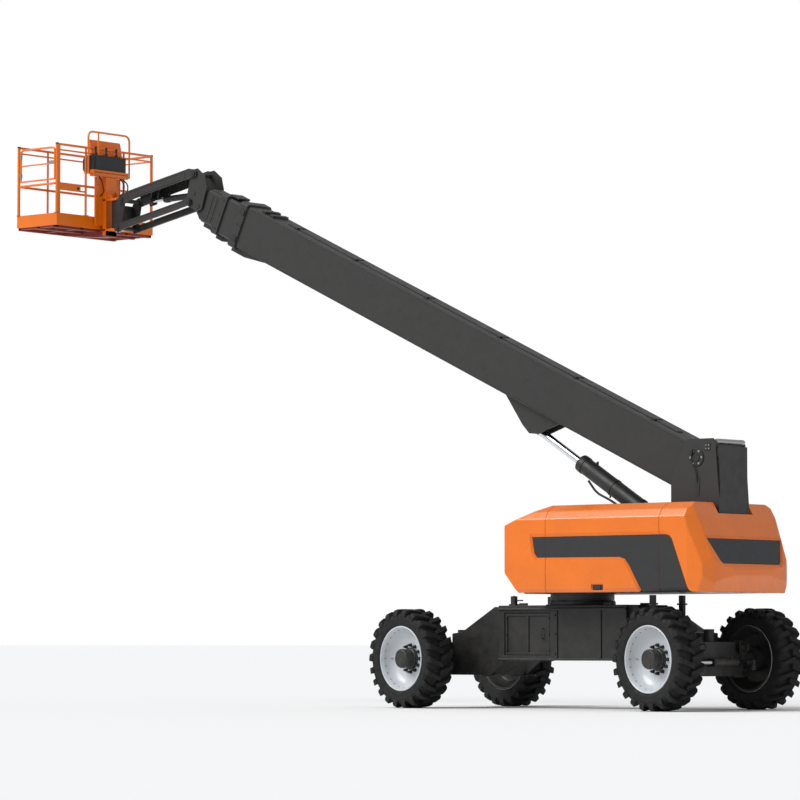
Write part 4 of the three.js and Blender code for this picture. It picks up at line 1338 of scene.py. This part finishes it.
def add_console_levers():
    """Three levers in their boots, a row of switches and the stop button."""
    parts = []
    for y in (-0.22, -0.02, 0.17):
        foot = Vector((CONSOLE_X + 0.030, y, CONSOLE_HIGH))
        parts += [
            stub(foot - UP * 0.002, UP, 0.014, 0.034, 28, 0.003, 0.028),
            stub(foot + UP * 0.010, UP, 0.042, 0.026, 24, 0.003, 0.012),
            stub(foot + UP * 0.045, UP, 0.055, 0.010, 20, 0.002, 0.014),
            stub(foot + UP * 0.095, UP, 0.027, 0.016, 20, 0.006),
        ]
    for i in range(9):
        foot = Vector((CONSOLE_X - 0.062, -0.24 + 0.055 * i, CONSOLE_HIGH))
        parts.append(stub(foot - UP * 0.002, UP, 0.010, 0.008, 12))
        parts.append(rod(foot, foot + Vector((0.006, 0, 0.026)), 0.0035, 10, 0.001))
    piece("console_levers", parts, "platform", "hose")
    stop = Vector((CONSOLE_X - 0.02, 0.27, CONSOLE_HIGH))
    button = [stub(stop, UP, 0.02, 0.012, 20), stub(stop + UP * 0.018, UP, 0.014, 0.021, 28, 0.005)]
    piece("console_stop_button", button, "platform", "maroon")


def add_console_frame():
    """The shelf under the console, the hoop round it and the lid that stands open."""
    x, half = CONSOLE_X, CONSOLE_HALF
    parts = [
        block((x + 0.020, -half - 0.010, SHELF_LOW), (x + 0.110, half + 0.010, 7.056), 0.003),
        block((x - 0.105, -half - 0.006, 7.088), (x + 0.110, half + 0.006, 7.0995), 0.002),
        block((x + 0.098, -half - 0.010, 7.050), (x + 0.110, half + 0.010, SHELF_TOP), 0.002),
    ]
    for y in (-half - 0.012, half):
        parts.append(block((x + 0.020, y, SHELF_LOW), (x + 0.110, y + 0.012, SHELF_TOP), 0.002))
    corners = (
        (-HOOP_HALF, HOOP_LOW),
        (-HOOP_HALF, HOOP_TOP),
        (HOOP_HALF, HOOP_TOP),
        (HOOP_HALF, HOOP_LOW),
    )
    parts.append(pipe([(x + 0.060, y, z) for y, z in corners], 0.0135, 0.09, 18, True))
    parts.append(pipe([(x + 0.060, -0.20, z) for z in (7.09, HOOP_TOP)], 0.0105, 0.0, 16))
    hinge = Matrix.Translation((x - 0.085, 0.085, CONSOLE_HIGH + 0.004))
    tilt = hinge @ Matrix.Rotation(math.radians(-12), 4, "Y")
    lid = [
        block((-0.004, -0.255, 0.010), (0.000, 0.320, 0.235), 0.001),
        block((-0.040, -0.259, 0.010), (0.000, -0.255, 0.235), 0.001),
        block((-0.040, 0.320, 0.010), (0.000, 0.324, 0.235), 0.001),
        block((-0.040, -0.259, 0.233), (0.000, 0.324, 0.237), 0.001),
        rod((-0.004, -0.25, 0.006), (-0.004, 0.315, 0.006), 0.006, 16, 0.001),
    ]
    parts += [moved(shape, tilt) for shape in lid]
    piece("console_frame", parts, "platform", "orange_frame")


add_basket()
add_column()
add_console_box()
add_console_levers()
add_console_frame()

# ---------------------------------------------------------------- chassis details

CHASSIS_SIDE = 0.385
DECK_LOW, DECK_HIGH = 0.604, 1.178
KINGPIN_TOP, KINGPIN_BOTTOM = 0.800, 0.400
TIE_RING = 0.045


def add_slew_ring():
    """The fixed lower ring with its guard groove, and a circle of bolts."""
    low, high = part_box("slew_ring")
    height = high.z - low.z
    profile = [
        (0.0, 0.0),
        (0.396, 0.0),
        (0.400, 0.004),
        (0.400, height - 0.018),
        (0.392, height - 0.014),
        (0.392, height - 0.004),
        (0.388, height),
        (0.0, height),
    ]
    turn = Matrix.Translation(place(0, 0, low.z)) @ Matrix.Rotation(math.pi / 2, 4, "X")
    ring = moved(spun(profile, 96), turn)
    piece("slew_ring_race", [ring], "chassis", "iron", ("slew_ring",))
    bolts = bolt_ring(36, 0.376, place(0, 0, high.z - 0.003), UP, 0.020, 0.0045)
    piece("slew_ring_bolts", bolts, "chassis", "charcoal_dark")


def panel_frame(side):
    """A panel on the chassis side with a raised border, its bolts and a grip."""
    y = side * CHASSIS_SIDE
    y0, y1 = spread(side, CHASSIS_SIDE, CHASSIS_SIDE + 0.014)
    x0, x1, z0, z1 = -0.872, -0.190, 0.645, 1.142
    w = 0.030
    bars = (
        (x0, z0, x1, z0 + w),
        (x0, z1 - w, x1, z1),
        (x0, z0 + w, x0 + w, z1 - w),
        (x1 - w, z0 + w, x1, z1 - w),
        (-0.545, z0 + w, -0.515, z1 - w),
    )
    parts = [placed_block((a, y0, b), (c, y1, d)) for a, b, c, d in bars]
    for x in (-0.857, -0.205):
        for z in (0.70, 0.89, 1.09):
            parts += bolt(place(x, y + side * 0.014, z), (0, side, 0), 0.020, 0.008)
    grip = y + side * 0.030
    route = [(-0.30, y, 0.84), (-0.30, grip, 0.84), (-0.30, grip, 0.96), (-0.30, y, 0.96)]
    parts.append(tube(route, 0.006, 0.02))
    return parts


def add_chassis_trim():
    """Side panels, upright straps with bolts, lugs on the deck and skid bars below the arms."""
    parts = []
    for side in (-1, 1):
        parts += panel_frame(side)
        y0, y1 = spread(side, 0.409, 0.424)
        for x0, x1 in ((-0.120, -0.060), (0.560, 0.600)):
            parts.append(placed_block((x0, y0, DECK_LOW), (x1, y1, DECK_HIGH)))
        for z in (0.66, 0.90, 1.12):
            parts += bolt(place(-0.09, side * 0.424, z), (0, side, 0), 0.024, 0.012)
        for x, y, foot in ((-0.767, side * 0.36, 1.240), (1.270, side * 0.29, 1.105)):
            parts.append(placed_block((x - 0.05, y - 0.04, 1.238), (x + 0.05, y + 0.04, 1.258)))
            near, far = (x - 0.032, y - 0.028, foot), (x + 0.032, y + 0.028, 1.352)
            parts.append(placed_block(near, far, 0.004))
        y = side * 0.36
        for x in (-0.62, 0.66):
            parts.append(placed_block((x - 0.06, y - 0.012, 1.240), (x + 0.06, y + 0.012, 1.268)))
    for x in (-1.13, 1.13):
        for y in (-0.31, 0.31):
            parts.append(placed_block((x - 0.15, y - 0.03, 0.385), (x + 0.15, y + 0.03, 0.402)))
    piece("chassis_trim", parts, "chassis", "charcoal_dark")


def add_chassis_fittings():
    """Sensors on the front lugs, tie-down rings at both ends and caps on the kingpins."""
    sensors = []
    for side in (-1, 1):
        sensors.append(stub(place(-0.767, side * 0.36, 1.352), UP, 0.006, 0.012, 6))
        sensors.append(stub(place(-0.73, side * 0.36, 1.30), (1, 0, 0), 0.10, 0.008, 16))
    piece("chassis_sensors", sensors, "chassis", "plastic")
    rings = []
    for end in (-1, 1):
        for side in (-1, 1):
            base = place(end * 2.038, side * 0.42, 0.735)
            reach = Vector((0.006, 0.045, 0.06))
            rings.append(block(base - reach, base + reach, 0.003))
            centre = base + Vector((end * 0.05, 0, 0))
            angles = [math.radians(degrees) for degrees in range(0, 360, 18)]
            loop = [Vector((math.cos(a) * end, 0, math.sin(a))) * TIE_RING for a in angles]
            rings.append(pipe([centre + point for point in loop], 0.010, 0.0, 12, True))
    piece("tie_down_rings", rings, "chassis", "charcoal_dark")
    caps = []
    for corner in CORNERS:
        joint = Vector(JOINTS["steer_" + corner]["pos_m"])
        for z, way in ((KINGPIN_TOP, UP), (KINGPIN_BOTTOM, -UP)):
            foot = Vector((joint.x, joint.y, z))
            caps.append(stub(foot, way, 0.010, 0.060, 28, 0.002))
            caps += bolt_ring(4, 0.047, foot + way * 0.009, UP, 0.014, 0.008, way)
    piece("kingpin_caps", caps, "chassis", "charcoal_dark")


add_slew_ring()
add_chassis_trim()
add_chassis_fittings()

# ---------------------------------------------------------------- tower and boom details

TOWER_HALF = 0.300
TOWER_SLOT = ((1.895, 2.72), (1.925, 2.50), (1.955, 2.50), (1.975, 2.72))
OUTER_HALF, OUTER_TOP, OUTER_BELLY = 0.210, -0.100, 0.470
MID_HALF, MID_TOP, MID_BELLY, MID_REACH = 0.202, -0.067, 0.437, 8.520
FLY_HALF, FLY_TOP, FLY_BELLY = 0.142, -0.035, 0.405
COLLAR_HALF = 0.232
BOOM_DOWN = Vector((-BOOM_RUN.z, 0, BOOM_RUN.x))
BOOM_TURN = Matrix((BOOM_RUN, ACROSS, BOOM_DOWN)).transposed().to_4x4()
BOOM_LINES = Matrix.Translation(BOOM_PIVOT) @ BOOM_TURN


def boom_block(x0, x1, y0, y1, d0, d1, width=0.003):
    """A block given along the boom, across it and down from its pivot line."""
    shape = moved(block((x0, y0, d0), (x1, y1, d1), width), BOOM_LINES)
    bmesh.ops.recalc_face_normals(shape, faces=shape.faces)
    return shape


def collar_bolts(along, half, drops, head):
    """Bolts on both sides of a boom section's end collar."""
    parts = []
    for side in (-1, 1):
        for drop in drops:
            spot = BOOM_LINES @ Vector((along, side * half, drop))
            parts += bolt(spot, (0, side, 0), head, 0.008)
    return parts


def tower_side(side):
    """What stands on one cheek of the tower: charcoal parts and bolts."""
    y, way = side * TOWER_HALF, ACROSS * side
    pivot = BOOM_PIVOT + ACROSS * y
    pin = place(1.5, y, 2.0)
    plate = spread(side, TOWER_HALF, TOWER_HALF + 0.004)
    sensor = spread(side, TOWER_HALF, TOWER_HALF + 0.045)
    weld = spread(side, TOWER_HALF - 0.002, TOWER_HALF + 0.008)
    slot = [(SLEW_X + x, z) for x, z in TOWER_SLOT]
    cable = [(1.862, 0.025, 2.985), (1.865, 0.03, 2.90), (1.92, 0.022, 2.80), (1.935, 0.01, 2.66)]
    parts = [
        stub(pivot - way * 0.002, way, 0.014, 0.105, 48, 0.004),
        stub(pivot + way * 0.010, way, 0.010, 0.052, 36, 0.003),
        stub(pin - way * 0.002, way, 0.012, 0.075, 36, 0.003),
        prism(slot, "Y", *spread(side, TOWER_HALF - 0.002, TOWER_HALF + 0.006), 0.002),
        placed_block((2.035, plate[0], 3.025), (2.125, plate[1], 3.115), 0.001),
        placed_block((1.840, sensor[0], 2.985), (1.885, sensor[1], 3.040), 0.004),
        tube([(x, y + side * out, z) for x, out, z in cable], 0.007, 0.05),
        placed_block((1.16, weld[0], 1.414), (2.20, weld[1], 1.426)),
    ]
    bolts = bolt_ring(6, 0.080, pivot + way * 0.010, way, 0.020, 0.010)
    for x, z in ((2.06, 3.05), (2.10, 3.05), (2.06, 3.09), (2.10, 3.09)):
        bolts += bolt(place(x, y, z), way, 0.016, 0.008)
    return parts, bolts


def add_tower_details():
    """Pivot caps, sensors, cables and welds on both cheeks, and the roller between them."""
    parts, metal = [], [across(place(2.185, 0, 3.135), 0.268, 0.030, 40, 0.003)]
    for side in (-1, 1):
        charcoal, bolts = tower_side(side)
        parts += charcoal
        metal += bolts
    piece("tower_trim", parts, "turntable", "charcoal_dark")
    piece("tower_roller", metal, "turntable", "steel")


def add_outer_trim():
    """The outer section's edge strips, cable guide with its clips, stops and collar bolts."""
    parts = []
    for side in (-1, 1):
        y0, y1 = spread(side, OUTER_HALF - 0.001, OUTER_HALF + 0.006)
        for drop, depth in ((OUTER_TOP + 0.008, 0.014), (OUTER_BELLY - 0.022, 0.012)):
            parts.append(boom_block(-0.18, 7.95, y0, y1, drop, drop + depth, 0.002))
    for along in (8.03, 8.09):
        parts += collar_bolts(along, COLLAR_HALF, (0.0, 0.18, 0.36), 0.022)
    top = OUTER_TOP
    for along in (7.60, 7.75):
        stop = boom_block(along, along + 0.06, -0.15, 0.15, top - 0.030, top + 0.004, 0.004)
        parts.append(stop)
    parts.append(boom_block(0.55, 7.4, -0.055, 0.055, top - 0.012, top + 0.002))
    for along in (0.9, 2.2, 3.5, 4.8, 6.1, 7.2):
        parts.append(boom_block(along, along + 0.05, -0.085, 0.085, top - 0.022, top + 0.002))
    piece("boom_trim", parts, "boom", "charcoal")
    pads = []
    for side in (-1, 1):
        y0, y1 = spread(side, COLLAR_HALF, COLLAR_HALF + 0.012)
        for drop in (-0.03, 0.33):
            pads.append(boom_block(8.02, 8.10, y0, y1, drop, drop + 0.07, 0.002))
    piece("boom_wear_pads", pads, "boom", "plastic")


def add_inner_trim():
    """Collar bolts, belly blocks, top plates and end ribs on the two inner sections."""
    drops = (MID_TOP + 0.06, (MID_TOP + MID_BELLY) / 2, MID_BELLY - 0.06)
    trim = collar_bolts(MID_REACH - 0.055, MID_HALF, drops, 0.020)
    trim.append(boom_block(8.36, 8.50, -0.09, 0.09, MID_BELLY + 0.020, MID_BELLY + 0.085, 0.012))
    trim.append(boom_block(8.30, 8.46, -0.11, 0.11, MID_TOP - 0.044, MID_TOP - 0.018, 0.006))
    piece("mid_boom_trim", trim, "mid_boom", "charcoal")
    trim = [boom_block(8.58, 8.78, -0.080, 0.080, FLY_BELLY - 0.004, FLY_BELLY + 0.060, 0.010)]
    for along in (8.62, 8.70):
        for side in (-1, 1):
            y0, y1 = spread(side, FLY_HALF - 0.001, FLY_HALF + 0.005)
            trim.append(
                boom_block(along, along + 0.012, y0, y1, FLY_TOP + 0.05, FLY_BELLY - 0.05, 0.002)
            )
    trim.append(boom_block(8.60, 8.80, -0.10, 0.10, FLY_TOP - 0.016, FLY_TOP + 0.002, 0.004))
    piece("fly_boom_trim", trim, "fly_boom", "charcoal")


add_tower_details()
add_outer_trim()
add_inner_trim()

# ---------------------------------------------------------------- jib details

JIB_TOP = Vector(JOINTS["jib_lift"]["pos_m"])
JIB_END = Vector(JOINTS["platform_level"]["pos_m"])
LINK_DROP = Vector(JOINTS["jib_link_left_turn"]["pos_m"]) - JIB_TOP
LINK_DROP.y = 0
JIB_LENGTH = (JIB_END - JIB_TOP).length
CAP_SEAT = 0.1995
RIB_SEAT = 0.1915


def add_pin_caps():
    """Thin caps and nuts on the ends of the jib's four pins."""
    for body, pin in (("jib_head", JIB_TOP), ("platform_bracket", JIB_END)):
        caps = []
        for centre, cap, nut in ((pin, 0.040, 0.018), (pin + LINK_DROP, 0.038, 0.016)):
            for side in (-1, 1):
                end = centre + ACROSS * side * CAP_SEAT
                caps.append(stub(end, ACROSS * side, 0.005, cap, 32))
                caps.append(stub(end, ACROSS * side, 0.009, nut, 6))
        piece(body + "_pin_caps", caps, body, "charcoal_dark")


def rib(matrix, x0, x1, y0, y1, z0, z1):
    """A ridge given in a bar's own lines: along it, across it and above it."""
    shape = moved(block((x0, y0, z0), (x1, y1, z1), 0.002), matrix)
    bmesh.ops.recalc_face_normals(shape, faces=shape.faces)
    return shape


def add_jib_ribs():
    """Ridges along the arm and its two links."""
    run = (JIB_END - JIB_TOP).normalized()
    rise = ACROSS.cross(run)
    rise = rise if rise.z > 0 else -rise
    basis = Matrix((run, ACROSS, rise)).transposed().to_4x4()
    arm = Matrix.Translation(JIB_TOP) @ basis
    link = Matrix.Translation(JIB_TOP + LINK_DROP) @ basis
    parts = []
    for side in (-1, 1):
        y0, y1 = spread(side, RIB_SEAT, 0.197)
        parts.append(rib(arm, 0.18, JIB_LENGTH - 0.16, y0, y1, 0.064, 0.078))
        parts.append(rib(arm, 0.24, JIB_LENGTH - 0.26, y0, y1, -0.022, -0.012))
        y0, y1 = spread(side, RIB_SEAT, 0.196)
        for along in (0.14, JIB_LENGTH - 0.14):
            parts.append(rib(arm, along, along + 0.014, y0, y1, -0.02, 0.070))
    piece("jib_arm_ribs", parts, "jib_arm", "charcoal")
    for side, word in SIDES:
        outer, inner = spread(side, RIB_SEAT, 0.1975), spread(side, 0.156, 0.175)
        parts = [
            rib(link, 0.075, JIB_LENGTH - 0.16, *outer, 0.026, 0.042),
            rib(link, 0.075, JIB_LENGTH - 0.16, *outer, -0.042, -0.030),
            rib(link, 0.20, JIB_LENGTH - 0.36, *inner, 0.030, 0.044),
            rib(link, 0.20, JIB_LENGTH - 0.36, *inner, -0.044, -0.034),
        ]
        piece("jib_link_ribs_" + word, parts, "jib_link_" + word, "charcoal")


add_pin_caps()
add_jib_ribs()

# ---------------------------------------------------------------- camera, floor and light

CAMERA_AT = place(28.55, -36.81, 0.788)
CAMERA_HEADING, CAMERA_PITCH = 40.5, 3.6
CAMERA_LENS = 173.8
FLOOR_HALF = 900.0
SUN_FROM = (-0.42, -0.62, 0.72)
SUN_STRENGTH, SUN_SPREAD = 2.3, 35
SEEN_STRENGTH, LIGHT_STRENGTH = 1.0, 0.5


def add_camera():
    """A long lens, low down, behind the machine's left side."""
    data = bpy.data.cameras.new("camera")
    camera = bpy.data.objects.new("camera", data)
    bpy.context.scene.collection.objects.link(camera)
    camera.location = CAMERA_AT
    heading, pitch = math.radians(CAMERA_HEADING), math.radians(CAMERA_PITCH)
    level = math.cos(pitch)
    direction = (-math.sin(heading) * level, math.cos(heading) * level, math.sin(pitch))
    camera.rotation_mode = "QUATERNION"
    camera.rotation_quaternion = Vector(direction).to_track_quat("-Z", "Y")
    data.lens = CAMERA_LENS
    data.sensor_width = 36.0
    data.clip_end = 3000.0
    bpy.context.scene.camera = camera


def add_floor():
    """A wide pale matte floor."""
    shape = bmesh.new()
    bmesh.ops.create_grid(shape, x_segments=1, y_segments=1, size=FLOOR_HALF)
    floor = linked("floor", shape)
    material = bpy.data.materials.new("floor")
    material.use_nodes = True
    shader = material.node_tree.nodes["Principled BSDF"]
    shader.inputs["Base Color"].default_value = (0.95, 0.95, 0.95, 1.0)
    shader.inputs["Roughness"].default_value = 0.9
    floor.data.materials.append(material)


def add_sun():
    """One wide soft light from the front left, high up."""
    data = bpy.data.lights.new("sun", "SUN")
    data.energy = SUN_STRENGTH
    data.angle = math.radians(SUN_SPREAD)
    sun = bpy.data.objects.new("sun", data)
    bpy.context.scene.collection.objects.link(sun)
    sun.rotation_mode = "QUATERNION"
    sun.rotation_quaternion = Vector(SUN_FROM).to_track_quat("Z", "Y")


def add_world():
    """A white backdrop that lights the machine less strongly than it shows."""
    world = bpy.data.worlds.new("studio")
    world.use_nodes = True
    tree = world.node_tree
    seen = tree.nodes["Background"]
    seen.inputs["Color"].default_value = (1.0, 1.0, 1.0, 1.0)
    seen.inputs["Strength"].default_value = SEEN_STRENGTH
    light = tree.nodes.new("ShaderNodeBackground")
    light.inputs["Color"].default_value = (0.96, 0.98, 1.0, 1.0)
    light.inputs["Strength"].default_value = LIGHT_STRENGTH
    rays = tree.nodes.new("ShaderNodeLightPath")
    choice = tree.nodes.new("ShaderNodeMixShader")
    tree.links.new(rays.outputs["Is Camera Ray"], choice.inputs["Fac"])
    tree.links.new(light.outputs["Background"], choice.inputs[1])
    tree.links.new(seen.outputs["Background"], choice.inputs[2])
    tree.links.new(choice.outputs["Shader"], tree.nodes["World Output"].inputs["Surface"])
    bpy.context.scene.world = world
    bpy.context.scene.view_settings.view_transform = "Standard"


add_camera()
add_floor()
add_sun()
add_world()
